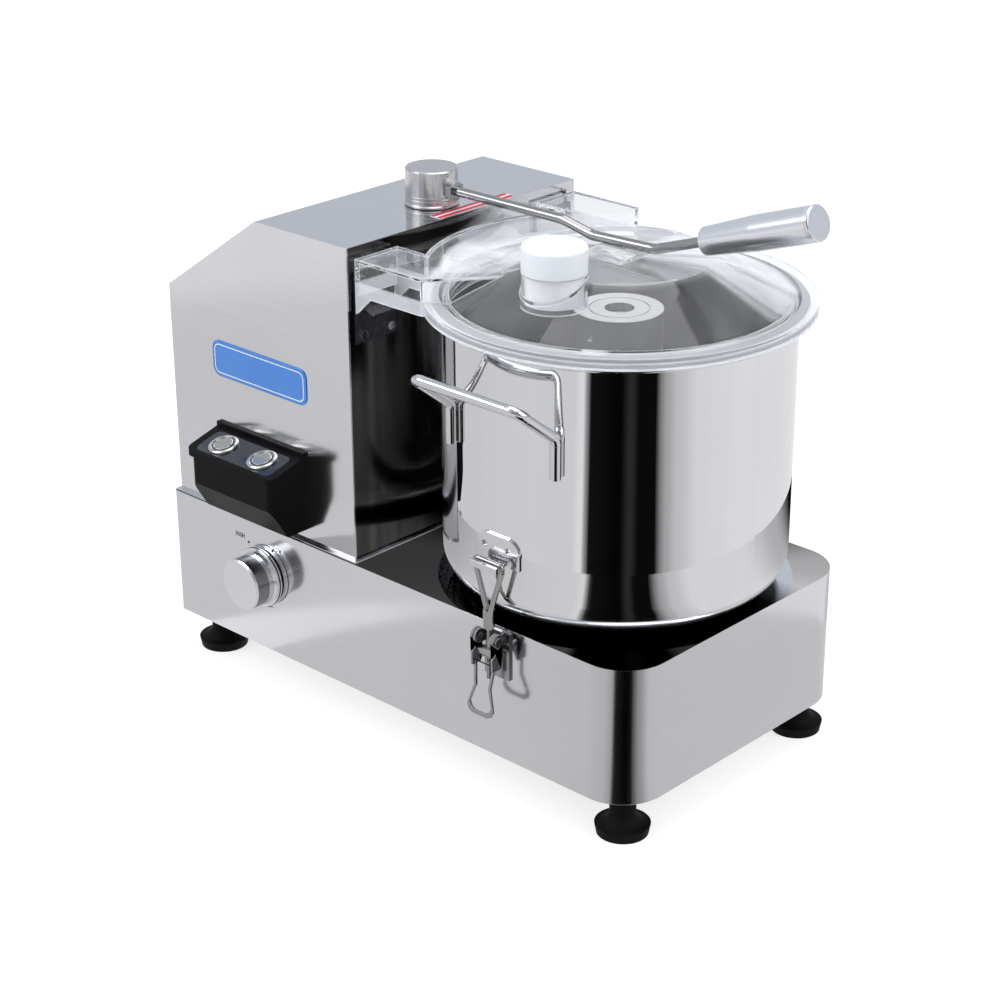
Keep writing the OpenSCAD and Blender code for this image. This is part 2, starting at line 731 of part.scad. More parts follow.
// Keeper on the bowl: a plate bent to the wall, with a hook that opens upwards under the bail.
module latch_keeper(side) {
  floor_z = hook_bar_z - wire_r - hook_gap;
  low_z = floor_z - keeper_t;
  lip_y = trunnion_y - wire_r - hook_inner;
  color("gainsboro") on_side(side) {
    difference() {
      intersection() {
        translate([bowl_x, 0, low_z]) tube(bowl_r + keeper_t, bowl_r, keeper_h);
        translate([bowl_x, 0, low_z]) rotate([90, 0, 0])
          linear_extrude(bowl_r + keeper_t + over) keeper_outline();
      }
      for (s = [-1, 1]) translate([bowl_x + s * keeper_hole_gap / 2, -bowl_r + 3 * over,
        low_z + keeper_hole_up])
        rotate([90, 0, 0]) cylinder(r = keeper_hole_r, h = keeper_t + 5 * over);
    }
    translate([bowl_x - hook_w / 2, lip_y - keeper_t, low_z])
      cube([hook_w, -lip_y + keeper_t - bowl_r, keeper_t]);
    translate([bowl_x - hook_lip_w / 2, lip_y - keeper_t, low_z])
      cube([hook_lip_w, keeper_t, keeper_t + hook_lip]);
  }
}

module keeper_outline() {
  translate([-keeper_w / 2, 0]) square([keeper_w, keeper_h - keeper_round]);
  translate([-keeper_w / 2 + keeper_round, 0]) square([keeper_w - 2 * keeper_round, keeper_h]);
  for (s = [-1, 1]) translate([s * (keeper_w / 2 - keeper_round), keeper_h - keeper_round])
    circle(keeper_round);
}

// Bowl: a thin round pot with a rolled rim and a closed column over the drive shaft.
rim_out = 9;
rim_t = 4;
column_cap_gap = 3;
column_cap_r = shaft_r + column_cap_gap;

module bowl() {
  inner_r = bowl_r - bowl_t;
  color("silver") translate([bowl_x, 0, bowl_z]) rotate_extrude($fn = 96) {
    difference() {
      pot_plan(bowl_r, bowl_h, bowl_fillet);
      translate([0, bowl_t]) pot_plan(inner_r, bowl_h, bowl_fillet - bowl_t);
      translate([-over, -over]) square([column_r - bowl_t + over, bowl_h]);
    }
    translate([column_r - bowl_t, 0]) square([bowl_t, column_h]);
    translate([column_cap_r, column_h - bowl_t]) square([column_r - column_cap_r, bowl_t]);
    translate([bowl_r - bowl_t, bowl_h - rim_t]) square([rim_out + bowl_t - rim_t / 2, rim_t]);
    translate([bowl_r + rim_out - rim_t / 2, bowl_h - rim_t / 2]) circle(rim_t / 2);
  }
}

module pot_plan(r, h, fillet) {
  translate([0, fillet]) square([r, h - fillet]);
  square([r - fillet, h]);
  translate([r - fillet, fillet]) circle(fillet);
}

handle_r = 4.3;
handle_half = 53;
handle_bar_out = 172;
handle_bar_down = 28;
handle_knee_down = 59;
handle_end_down = 91;
handle_bar_z = rim_top_z - handle_bar_down;
handle_leg_top_z = rim_top_z - handle_knee_down;
handle_leg_low_z = rim_top_z - handle_end_down;
handle_bend = 9;

module bowl_handle(side) {
  leg_y = -sqrt(pow(bowl_r + handle_r, 2) - pow(handle_half, 2));
  color("silver") on_side(side) translate([bowl_x, 0, 0])
    bent_rod([[-handle_half, leg_y, handle_leg_low_z], [-handle_half, leg_y, handle_leg_top_z],
              [-handle_half, -handle_bar_out, handle_bar_z], [handle_half, -handle_bar_out, handle_bar_z],
              [handle_half, leg_y, handle_leg_top_z], [handle_half, leg_y, handle_leg_low_z]], handle_r,
                handle_bend);
}

seat_r = 92;

module bowl_seat() {
  color("dimgray") translate([bowl_x, 0, deck_z]) tube(seat_r, column_r + over, seat_t);
}

// Lid: a clear moulding of ring, cone and flat top, with a feed tube, a ramp for the lever and
// two hollow arms that reach back to the brackets on the tower.
skirt_gap = 1;
skirt_wall = 2.5;
skirt_h = 8;
tube_wall = 2.4;
tube_top = 3.5;
tube_l = 28;
ramp_l = 46;
ramp_w = 38;
ramp_h = 4;
ear_in = 10;
ear_out = base_w / 2 - ear_in;
ear_gap = 2.5;
ear_slant = 51;
ear_bend_in = 88;
ear_bend_x = bowl_x - ear_bend_in;
tooth_l = 16;
tooth_h = 15;
ear_x0 = tower_front_x + bracket_t + ear_gap;
ear_inner_y = ear_out - ear_w;
ear_reach = 16;

module lid_section() {
  polygon([[0, lid_rise + ring_t], [lid_top_r, lid_rise + ring_t], [ring_in_r, ring_t], [ring_r, ring_t],
    [ring_r, 0],
           [ring_in_r - lid_t, 0], [ring_in_r - lid_t, ring_t - lid_t],
           [lid_top_r - lid_t / 2, lid_rise + ring_t - lid_t], [0, lid_rise + ring_t - lid_t]]);
  translate([bowl_r - bowl_t - skirt_gap - skirt_wall, -skirt_h]) square([skirt_wall, skirt_h + lid_t]);
}

// Space under the middle of the lid's wall, which trims the arms.
module lid_core() {
  mid = lid_t / 2;
  translate([bowl_x, 0, 0]) rotate_extrude($fn = 96)
    polygon([[0, -over], [ring_in_r - mid, -over], [ring_in_r - mid, ring_t - mid],
             [lid_top_r - mid / 2, lid_rise + ring_t - mid], [0, lid_rise + ring_t - mid]]);
}

// Plan of the lid's rear, drawn in by the wall t: two arms, and between them a flat that ends
// on the round edge of the lid.
module rear_plan(t) {
  bend_x = ear_bend_x - t * tan(ear_slant / 2);
  tip_y = ear_inner_y - ear_reach;
  tip_x = bend_x + (ear_out - t - tip_y) / tan(ear_slant);
  difference() {
    polygon([[ear_x0 + t, -ear_out + t], [bend_x, -ear_out + t], [tip_x, -tip_y],
             [tip_x, tip_y], [bend_x, ear_out - t], [ear_x0 + t, ear_out - t]]);
    difference() {
      translate([ear_x0 - over, -ear_inner_y - t]) square([ear_w, 2 * (ear_inner_y + t)]);
      translate([bowl_x, 0]) circle(ring_r - t, $fn = 96);
    }
  }
}

module lid_rear() {
  difference() {
    union() {
      linear_extrude(ear_h) rear_plan(0);
      for (side = [-1, 1]) on_side(side) for (y = [-ear_out, -ear_inner_y - lid_t])
        translate([ear_x0, y + lid_t, 0])
        rotate([90, 0, 0]) linear_extrude(lid_t) polygon([[0, over], [0, -tooth_h], [tooth_l, 0],
          [tooth_l, over]]);
    }
    lid_core();
  }
}

// Hollow of the arms: open below outside the ring, and open to the bowl inside it.
module lid_hollow() {
  hollow_h = ear_h - lid_t;
  translate([0, 0, -over]) linear_extrude(hollow_h + over) difference() {
    rear_plan(lid_t);
    translate([bowl_x, 0]) circle(ring_r, $fn = 96);
  }
  translate([0, 0, ring_t]) linear_extrude(hollow_h - ring_t) rear_plan(lid_t);
  translate([0, 0, -over]) linear_extrude(hollow_h + over) intersection() {
    rear_plan(lid_t);
    translate([bowl_x, 0]) circle(ring_in_r - lid_t, $fn = 96);
  }
}

module lid() {
  color([0.8, 0.88, 0.92, 0.4]) difference() {
    union() {
      translate([0, 0, rim_top_z]) difference() {
        union() {
          translate([bowl_x, 0, 0]) rotate_extrude($fn = 96) lid_section();
          lid_rear();
        }
        lid_hollow();
      }
      translate([bowl_x, -port_d, lid_top_z + tube_top - tube_l]) cylinder(r = port_r, h = tube_l);
      translate([bowl_x, 0, lid_top_z]) intersection() {
        translate([-ramp_w / 2, 0, ramp_h - ramp_radius()]) rotate([0, 90, 0])
          cylinder(r = ramp_radius(), h = ramp_w, $fn = 96);
        translate([-ramp_w / 2, -ramp_l, -over]) cube([ramp_w, 2 * ramp_l, ramp_h + 2 * over]);
      }
    }
    translate([bowl_x, -port_d, lid_top_z + tube_top - tube_l - over])
      cylinder(r = port_r - tube_wall, h = tube_l + 2 * over);
  }
}

function ramp_radius() = (pow(ramp_l / 2, 2) + pow(ramp_h, 2)) / (2 * ramp_h);

plug_cap_h = 21;
plug_gap = 0.4;
plug_edge = 3;

module feed_plug() {
  stem_plug_r = port_r - tube_wall - plug_gap;
  color("white") translate([bowl_x, -port_d, lid_top_z + tube_top + seat_gap]) rotate_extrude() {
    translate([0, -tube_l + tube_top]) square([stem_plug_r, tube_l]);
    square([port_r, plug_cap_h - plug_edge]);
    square([port_r - plug_edge, plug_cap_h]);
    translate([port_r - plug_edge, plug_cap_h - plug_edge]) circle(plug_edge);
  }
}

// Knife: a hub that stands over the bowl's column, with two pairs of curved blades at its foot.
hub_down = 6;
hub_top_z = rim_top_z - hub_down;
hub_head_h = 46;
sleeve_out = 31;
sleeve_gap = 2.5;
sleeve_in = column_r + sleeve_gap;
knife_lift = 5;
knife_low_z = bowl_z + bowl_t + knife_lift;
foot_flange_r = 37;
foot_flange_t = 4;
hub_bore_gap = 1.5;
hub_bore_r = shaft_r + hub_bore_gap;
bore_top_h = 14;
groove_r = 24;
groove_w = 1;
set_screw_r = 3;
set_screw_down = 16;
set_screw_end = 3;
set_screw_z = hub_top_z - set_screw_down;
blade_gap = 40;
spacer_r = 36;

module knife_hub() {
  color([0.78, 0.78, 0.8]) translate([bowl_x, 0, 0]) difference() {
    union() {
      translate([0, 0, hub_top_z - hub_head_h]) cylinder(r = hub_r, h = hub_head_h);
      translate([0, 0, knife_low_z]) cylinder(r = sleeve_out, h = hub_top_z - hub_head_h - knife_low_z);
      translate([0, 0, knife_low_z]) cylinder(r = foot_flange_r, h = foot_flange_t);
    }
    translate([0, 0, knife_low_z - over]) cylinder(r = sleeve_in,
      h = hub_top_z - hub_head_h - knife_low_z + 2 * over);
    translate([0, 0, hub_top_z - hub_head_h]) cylinder(r = shaft_r + fit_gap, h = hub_head_h);
    translate([0, 0, hub_top_z - bore_top_h]) cylinder(r = hub_bore_r, h = bore_top_h + over);
    translate([0, 0, hub_top_z - groove_w]) tube(groove_r, groove_r - groove_w, groove_w + over);
    translate([0, 0, set_screw_z]) rotate([90, 0, 0]) cylinder(r = set_screw_r, h = hub_r + over);
  }
}

blade_w = 24;
blade_drop_share = 0.35;

// One arm of a blade: a sickle between two equal circles, cut off by the circle that it sweeps.
module blade_arm(reach, width) {
  drop = reach * blade_drop_share;
  arc_r = norm([reach / 2, drop]);
  intersection() {
    difference() {
      translate([reach / 2, -drop]) circle(arc_r);
      translate([reach / 2, -drop - width]) circle(arc_r);
    }
    circle(reach);
    square(reach);
  }
}

module blade_pair(reach, z, turn) {
  color([0.82, 0.82, 0.84]) translate([bowl_x, 0, z]) rotate(turn) difference() {
    linear_extrude(blade_t) {
      circle(foot_flange_r);
      for (a = [0, 180]) rotate(a) blade_arm(reach, blade_w);
    }
    translate([0, 0, -over]) cylinder(r = sleeve_out + fit_gap, h = blade_t + 2 * over);
  }
}

lower_blade_z = knife_low_z + foot_flange_t;
upper_blade_z = lower_blade_z + blade_t + blade_gap;
lower_reach_share = 0.92;

module blade_spacer() {
  color([0.7, 0.7, 0.72]) translate([bowl_x, 0, 0]) {
    translate([0, 0, lower_blade_z + blade_t]) tube(spacer_r, sleeve_out + fit_gap, blade_gap);
    translate([0, 0, upper_blade_z + blade_t]) tube(spacer_r, sleeve_out + fit_gap,
      hub_top_z - hub_head_h - upper_blade_z - blade_t);
  }
}

shaft_top_z = hub_top_z - bore_top_h;
cap_screw_r = 9;
cap_screw_h = 8;

module knife_screws() {
  color("dimgray") translate([bowl_x, 0, 0]) {
    difference() {
      translate([0, 0, shaft_top_z]) cylinder(r = cap_screw_r, h = cap_screw_h);
      translate([0, 0, shaft_top_z + screw_head_h])
        cylinder(r = screw_head_h, h = screw_head_h + over, $fn = 6);
    }
    difference() {
      translate([0, -shaft_r - fit_gap, set_screw_z]) rotate([90, 0, 0])
        cylinder(r = set_screw_r - fit_gap, h = hub_r - shaft_r - set_screw_end);
      translate([0, -hub_r + screw_head_h + over, set_screw_z]) rotate([90, 0, 0])
        cylinder(r = set_screw_r / 2, h = screw_head_h, $fn = 6);
    }
  }
}

// Drive: the spindle in its housing under the deck, a belt and a motor that stands in the tower.
housing_r = 32;
housing_h = 52;
housing_flange_r = 52;
housing_flange_t = 5;
neck_gap = 1;
neck_r = column_r - bowl_t - neck_gap;
neck_h = 60;
bearing_r = 17;
bearing_h = 12;
shaft_room = 2;
pulley_h = 24;
pulley_up = 12;
pulley_z = foot_h + pulley_up;
pulley_flange = 3;
belt_t = 4;
belt_w = 16;
shaft_under = 3;
shaft_low_z = pulley_z - shaft_under;

module drive_shaft() {
  color("silver") translate([bowl_x, 0, shaft_low_z]) cylinder(r = shaft_r, h = shaft_top_z - shaft_low_z);
}

module spindle_housing() {
  low_z = deck_z - sheet_t - housing_h;
  color("dimgray") translate([bowl_x, 0, 0]) difference() {
    union() {
      translate([0, 0, low_z]) cylinder(r = housing_r, h = housing_h);
      translate([0, 0, deck_z - sheet_t - housing_flange_t])
        cylinder(r = housing_flange_r, h = housing_flange_t);
      translate([0, 0, low_z]) cylinder(r = neck_r, h = housing_h + sheet_t + neck_h);
    }
    translate([0, 0, low_z - over]) cylinder(r = bearing_r, h = bearing_h + over);
    translate([0, 0, low_z - over]) cylinder(r = shaft_r + shaft_room,
      h = housing_h + sheet_t + neck_h + 2 * over);
    translate([0, 0, deck_z + neck_h - bearing_h]) cylinder(r = bearing_r, h = bearing_h + over);
  }
}

module spindle_bearings() {
  color("silver") translate([bowl_x, 0, 0]) {
    translate([0, 0, deck_z - sheet_t - housing_h]) tube(bearing_r - fit_gap, shaft_r + fit_gap, bearing_h);
    translate([0, 0, deck_z + neck_h - bearing_h]) tube(bearing_r - fit_gap, shaft_r + fit_gap, bearing_h);
  }
}

module pulley(r, bore) {
  difference() {
    union() {
      cylinder(r = r, h = pulley_h);
      cylinder(r = r + pulley_flange, h = (pulley_h - belt_w) / 2 - seat_gap);
      translate([0, 0, (pulley_h + belt_w) / 2 + seat_gap])
        cylinder(r = r + pulley_flange, h = (pulley_h - belt_w) / 2 - seat_gap);
    }
    translate([0, 0, -over]) cylinder(r = bore + fit_gap, h = pulley_h + 2 * over);
  }
}

module spindle_pulley() {
  color("gray") translate([bowl_x, 0, pulley_z]) pulley(pulley_r, shaft_r);
}

motor_shaft_r = 9;

module motor_pulley() {
  color("gray") translate([motor_x, 0, pulley_z]) pulley(motor_pulley_r, motor_shaft_r);
}

// Closed outline of the belt at a distance from both pulleys.
module belt_plan(grow) {
  hull() {
    translate([bowl_x, 0]) circle(pulley_r + grow, $fn = 72);
    translate([motor_x, 0]) circle(motor_pulley_r + grow, $fn = 72);
  }
}

module drive_belt() {
  color([0.1, 0.1, 0.1]) translate([0, 0, pulley_z + (pulley_h - belt_w) / 2])
    linear_extrude(belt_w) difference() {
    belt_plan(seat_gap + belt_t);
    belt_plan(seat_gap);
  }
}

motor_cap_h = 22;
motor_cap_in = 6;
motor_rib_t = 3;

module motor_body() {
  color("slategray") translate([motor_x, 0, deck_z]) difference() {
    union() {
      cylinder(r = motor_r - motor_cap_in, h = motor_h);
      translate([0, 0, motor_cap_h]) cylinder(r = motor_r, h = motor_h - 2 * motor_cap_h);
      cylinder(r = motor_r, h = motor_rib_t);
    }
    translate([0, 0, -over]) cylinder(r = motor_shaft_r + fit_gap, h = motor_h / 2);
  }
}

module motor_shaft() {
  color("silver") translate([motor_x, 0, shaft_low_z])
    cylinder(r = motor_shaft_r, h = deck_z - shaft_low_z + motor_h / 2 - 2 * over);
}

// Locking lever: hub on the tower, a bent rod over the lid's ramp and a tapered grip.
washer_h = 3;
washer_r = lever_hub_r + 1;
lever_lift = seat_gap;
lever_base_z = tower_top_z + lever_lift;
rod_up_share = 0.45;
ramp_gap = 0.5;
rod_low_z = lid_top_z + ramp_h + ramp_gap + rod_r;
// The hub grows where a taller bowl lifts the lid, so that the rod still comes down onto it.
rod_step = 4;
hub_rise = max(0, rod_low_z + rod_step - lever_base_z - washer_h - lever_hub_h * rod_up_share);
hub_full_h = washer_h + lever_hub_h + hub_rise;
rod_z = lever_base_z + washer_h + lever_hub_h * rod_up_share + hub_rise;
lever_shaft_r = 8;
hub_edge = 1;

module lever_hub() {
  color("silver") translate([hub_x, 0, lever_base_z]) difference() {
    rotate_extrude() polygon([[0, 0], [washer_r - hub_edge, 0], [washer_r, hub_edge], [washer_r,
      washer_h - hub_edge],
      [lever_hub_r, washer_h],
      [lever_hub_r, hub_full_h - hub_edge], [lever_hub_r - hub_edge, hub_full_h], [0, hub_full_h]]);
    translate([0, 0, -over]) cylinder(r = lever_shaft_r, h = lever_hub_h / 2 + over);
    translate([lever_hub_r / 2, 0, rod_z - lever_base_z]) rotate([0, 90, 0])
      cylinder(r = rod_r, h = lever_hub_r);
  }
}

lever_nut_l = 8;
lever_nut_r = 8.5;

module lever_nut() {
  color("gray") translate([hub_x + lever_hub_r, 0, rod_z]) rotate([0, 90, 0]) difference() {
    translate([0, 0, -rod_r / 4]) cylinder(r = lever_nut_r, h = lever_nut_l, $fn = 6);
    translate([0, 0, -2 * over]) cylinder(r = rod_r + fit_gap, h = lever_nut_l + 4 * over);
    translate([0, 0, -lever_hub_r]) rotate([0, 90, 0]) translate([0, 0, -2 * lever_nut_r])
      cylinder(r = lever_hub_r, h = 4 * lever_nut_r);
  }
}

rod_bend = 26;
rod_reach = 62;
rod_in_grip = 12;
rod_knee_in = 58;
rod_foot_in = 28;
rod_turn_out = 34;
rod_turn_up = 2;
rod_start = [hub_x + lever_hub_r / 2, 0, rod_z];
rod_knee = [bowl_x - rod_knee_in, 0, rod_z];
rod_foot = [bowl_x - rod_foot_in, 0, rod_low_z];
rod_turn = [bowl_x + rod_turn_out, 0, rod_low_z + rod_turn_up];
grip_dir = [cos(grip_rise), 0, sin(grip_rise)];
rod_end = rod_turn + grip_dir * rod_reach;
grip_start = rod_turn + grip_dir * (rod_reach - rod_in_grip);
grip_neck_r = 11;
cap_t = 3;
grip_edge = 1;
grip_tip = grip_start + grip_dir * grip_l;

module lever_rod() {
  color("silver") bent_rod([rod_start, rod_knee, rod_foot, rod_turn, rod_end], rod_r, rod_bend);
}

module lever_grip() {
  body_l = grip_l - cap_t;
  color([0.8, 0.8, 0.82]) along(grip_start, grip_dir) difference() {
    rotate_extrude() polygon([[0, 0], [grip_neck_r - grip_edge * 2, 0], [grip_neck_r, grip_edge * 2],
      [grip_r, body_l / 2], [grip_r, body_l], [0, body_l]]);
    translate([0, 0, -over]) cylinder(r = rod_r + fit_gap, h = rod_in_grip + over);
  }
}

module grip_cap() {
  color("gainsboro") along(grip_tip - grip_dir * cap_t, grip_dir)
    rotate_extrude() polygon([[0, 0], [grip_r, 0], [grip_r, cap_t - grip_edge], [grip_r - grip_edge,
      cap_t], [0, cap_t]]);
}

// Shaft of the lever inside the tower, with the cam that works the safety switch.
cam_r = 16;
cam_t = 6;
cam_down = 22;
cam_z = tower_top_z - cam_down;
cam_off = 6;
lever_shaft_l = 30;

module lever_shaft() {
  color("gray") translate([hub_x, 0, 0]) {
    translate([0, 0, tower_top_z - lever_shaft_l])
      cylinder(r = lever_shaft_r - fit_gap, h = lever_shaft_l + lever_lift + lever_hub_h / 2);
    translate([cam_off, 0, cam_z]) cylinder(r = cam_r, h = cam_t);
  }
}

switch_size = [28, 16, 24];
switch_gap = 1.5;

module safety_switch() {
  color([0.1, 0.1, 0.12]) translate([hub_x - cam_r - switch_size[0] - switch_gap,
    -switch_size[1] / 2, tower_top_z - sheet_t - switch_size[2]])
    cube(switch_size);
}

board_size = [120, 60, 1.6];
board_gap = 8;
board_post_shares = [0.15, 0.85];
board_part_share = 0.3;
board_part_w_share = 0.4;

module control_board() {
  color([0.1, 0.35, 0.2]) translate([motor_x + motor_r / 2 - board_size[0] / 2,
    base_w / 2 - sheet_t - board_size[1] - board_gap, foot_h + sheet_t + board_gap]) {
    cube(board_size);
    for (x = board_post_shares) for (y = board_post_shares)
      translate([board_size[0] * x, board_size[1] * y, -board_gap]) cylinder(r = screw_r, h = board_gap);
    translate([board_size[0] * board_part_share, board_size[1] * board_part_share, board_size[2]])
      cube([board_size[0] * board_part_share, board_size[1] * board_part_w_share, board_gap * 2]);
  }
}

gland_out = 12;
gland_nut_r = 12;
gland_nut_t = 6;
gland_bore_r = 4;
gland_collar = 1;

module cable_gland() {
  color([0.08, 0.08, 0.08]) translate([-base_l / 2, 0, gland_z]) rotate([0, 90, 0]) difference() {
    union() {
      translate([0, 0, -gland_out]) cylinder(r = gland_r + gland_collar, h = gland_out);
      translate([0, 0, -gland_nut_t]) cylinder(r = gland_nut_r, h = gland_nut_t, $fn = 6);
      cylinder(r = gland_r, h = sheet_t + gland_nut_t);
      translate([0, 0, sheet_t]) cylinder(r = gland_nut_r, h = gland_nut_t, $fn = 6);
    }
    translate([0, 0, -gland_out - over]) cylinder(r = gland_bore_r,
      h = gland_out + sheet_t + gland_nut_t + 2 * over);
  }
}

// The whole is moved so that the middle of its length is at x = 0.
x_low = -base_l / 2 - gland_out;
x_high = grip_tip[0] + max((grip_r - grip_edge) * sin(grip_rise),
  grip_r * sin(grip_rise) - grip_edge * cos(grip_rise));
module centred() {
  translate([-(x_low + x_high) / 2, 0, 0]) children();
}

centred() base_shell();
centred() bottom_plate();
centred() foot(1, 1);  // foot_front_left
centred() foot(1, -1);  // foot_front_right
centred() foot(-1, 1);  // foot_rear_left
centred() foot(-1, -1);  // foot_rear_right
centred() foot_screws();
centred() tower_wrap();
centred() tower_side(1);  // tower_side_left
centred() tower_side(-1);  // tower_side_right
centred() tower_flange();
centred() lid_brackets();
centred() bracket_screws();
centred() control_box();
centred() button_plate();
centred() button_bezels();
centred() push_button(-button_gap / 2);  // start_button
centred() push_button(button_gap / 2);  // stop_button
centred() speed_knob();
centred() knob_shaft();
centred() speed_pot();
centred() latch_bracket(1);  // latch_bracket_left
centred() latch_bracket(-1);  // latch_bracket_right
centred() latch_rivets();
centred() latch_lever(1);  // latch_lever_left
centred() latch_lever(-1);  // latch_lever_right
centred() latch_bail(1);  // latch_bail_left
centred() latch_bail(-1);  // latch_bail_right
centred() latch_trunnion(1);  // latch_trunnion_left
centred() latch_trunnion(-1);  // latch_trunnion_right
centred() latch_keeper(1);  // latch_keeper_left
centred() latch_keeper(-1);  // latch_keeper_right
centred() bowl();
centred() bowl_handle(1);  // bowl_handle_left
centred() bowl_handle(-1);  // bowl_handle_right
centred() bowl_seat();
centred() lid();
centred() feed_plug();
centred() knife_hub();
centred() blade_pair(blade_reach * lower_reach_share, lower_blade_z, 90);  // blade_lower
centred() blade_pair(blade_reach, upper_blade_z, 0);  // blade_upper
centred() blade_spacer();
centred() knife_screws();
centred() drive_shaft();
centred() spindle_housing();
centred() spindle_bearings();
centred() spindle_pulley();
centred() drive_belt();
centred() motor_body();
centred() motor_shaft();
centred() motor_pulley();
centred() lever_hub();
centred() lever_nut();
centred() lever_rod();
centred() lever_grip();
centred() grip_cap();
centred() lever_shaft();
centred() safety_switch();
centred() control_board();
centred() cable_gland();
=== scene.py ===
import bpy, bmesh, math
from mathutils import Vector, Matrix


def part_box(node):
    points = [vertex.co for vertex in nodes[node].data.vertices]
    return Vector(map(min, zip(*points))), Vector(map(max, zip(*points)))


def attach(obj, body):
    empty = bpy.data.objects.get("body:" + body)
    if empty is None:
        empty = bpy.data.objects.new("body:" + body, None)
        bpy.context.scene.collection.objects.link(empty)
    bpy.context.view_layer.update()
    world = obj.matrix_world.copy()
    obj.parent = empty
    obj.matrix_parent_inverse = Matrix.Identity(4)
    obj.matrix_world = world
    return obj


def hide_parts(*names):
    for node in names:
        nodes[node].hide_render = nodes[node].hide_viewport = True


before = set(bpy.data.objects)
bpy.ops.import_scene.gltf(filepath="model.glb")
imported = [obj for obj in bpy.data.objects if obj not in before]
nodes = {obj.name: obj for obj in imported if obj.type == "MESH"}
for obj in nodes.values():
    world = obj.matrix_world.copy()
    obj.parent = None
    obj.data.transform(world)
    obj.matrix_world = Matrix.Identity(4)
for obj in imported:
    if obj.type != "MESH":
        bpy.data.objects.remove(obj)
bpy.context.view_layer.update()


def middle(lo, hi):
    return (lo + hi) / 2


# Places that the pieces below share, read from the frame. Lengths are metres.
BASE_LO, BASE_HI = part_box("base_shell")
TOWER_LO, TOWER_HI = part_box("tower_side_right")
BOWL_LO, BOWL_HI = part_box("bowl")
KNOB_LO, KNOB_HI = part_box("speed_knob")
HUB_LO, HUB_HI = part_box("lever_hub")
LID_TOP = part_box("lid")[1].z
DECK_Z = BASE_HI.z
SIDE_Y = BASE_LO.y
MID_X = (BASE_LO.x + BASE_HI.x) / 2
BOWL_X = middle(BOWL_LO, BOWL_HI).x
BOWL_Z, RIM_Z = BOWL_LO.z, BOWL_HI.z
BOWL_INNER_R = 0.1372
KNOB_C = middle(KNOB_LO, KNOB_HI)
KNOB_R = (KNOB_HI.x - KNOB_LO.x) / 2
HUB_C = middle(HUB_LO, HUB_HI)


# Node helpers. A value may be a number, a colour or a socket.

def tree(name):
    """New material with an empty node tree."""
    m = bpy.data.materials.new(name)
    m.use_nodes = True
    m.node_tree.nodes.clear()
    return m, m.node_tree


def surface(nt, look):
    """Give the tree its output."""
    link(nt, look, nt.nodes.new("ShaderNodeOutputMaterial").inputs[0])


def link(nt, a, b):
    nt.links.new(a, b)


def put(nt, value, socket):
    """Set a socket to a number or colour, or link it to another socket."""
    if isinstance(value, (int, float)):
        socket.default_value = value
    elif isinstance(value, tuple):
        socket.default_value = value + (1,) if socket.type == "RGBA" and len(value) == 3 else value
    else:
        link(nt, value, socket)


def add(nt, kind, **values):
    """New node with the values of its named inputs."""
    n = nt.nodes.new(kind)
    for key, value in values.items():
        n.inputs[key].default_value = value
    return n


def coords(nt, scale=(1, 1, 1)):
    """Object coordinates, stretched by a scale."""
    c = nt.nodes.new("ShaderNodeTexCoord")
    mp = add(nt, "ShaderNodeMapping", Scale=scale)
    link(nt, c.outputs["Object"], mp.inputs["Vector"])
    return mp.outputs[0]


def axes(nt, vec):
    """A vector's parts, by the names X, Y and Z."""
    n = nt.nodes.new("ShaderNodeSeparateXYZ")
    link(nt, vec, n.inputs[0])
    return n.outputs


def true_normal(nt):
    return nt.nodes.new("ShaderNodeNewGeometry").outputs["True Normal"]


def ray(nt, kind):
    """One where the ray is of this kind, else zero."""
    return nt.nodes.new("ShaderNodeLightPath").outputs[kind]


def noise(nt, vec, scale=1.0, detail=3.0, rough=0.5):
    n = add(nt, "ShaderNodeTexNoise", Scale=scale, Detail=detail, Roughness=rough)
    link(nt, vec, n.inputs["Vector"])
    return n.outputs["Fac"]


def remap(nt, value, a, b, lo=0.3, hi=0.7):
    """Map lo..hi to a..b, held at both ends."""
    n = nt.nodes.new("ShaderNodeMapRange")
    n.inputs["From Min"].default_value = lo
    n.inputs["From Max"].default_value = hi
    n.inputs["To Min"].default_value = a
    n.inputs["To Max"].default_value = b
    link(nt, value, n.inputs["Value"])
    return n.outputs[0]


def math_node(nt, op, a, b=None):
    n = nt.nodes.new("ShaderNodeMath")
    n.operation = op
    put(nt, a, n.inputs[0])
    if b is not None:
        put(nt, b, n.inputs[1])
    return n.outputs[0]


def times(nt, a, b):
    return math_node(nt, "MULTIPLY", a, b)


def plus(nt, a, b):
    return math_node(nt, "ADD", a, b)


def larger(nt, a, b):
    return math_node(nt, "MAXIMUM", a, b)


def mix_colour(nt, fac, a, b):
    n = nt.nodes.new("ShaderNodeMix")
    n.data_type = "RGBA"
    ins = [s for s in n.inputs if s.type == "RGBA"]
    put(nt, fac, n.inputs[0])
    put(nt, a, ins[0])
    put(nt, b, ins[1])
    return [s for s in n.outputs if s.type == "RGBA"][0]


def mix_shader(nt, fac, a, b):
    n = nt.nodes.new("ShaderNodeMixShader")
    for value, socket in zip((fac, a, b), n.inputs):
        put(nt, value, socket)
    return n.outputs[0]


def shader(nt, kind, colour, strength=None):
    """Plain shader of one colour, with a strength where it gives light."""
    n = nt.nodes.new(kind)
    put(nt, colour, n.inputs[0])
    if strength is not None:
        put(nt, strength, n.inputs["Strength"])
    return n.outputs[0]


def bump(nt, height, strength, distance, normal=None):
    n = add(nt, "ShaderNodeBump", Strength=strength, Distance=distance)
    link(nt, height, n.inputs["Height"])
    if normal is not None:
        link(nt, normal, n.inputs["Normal"])
    return n.outputs[0]


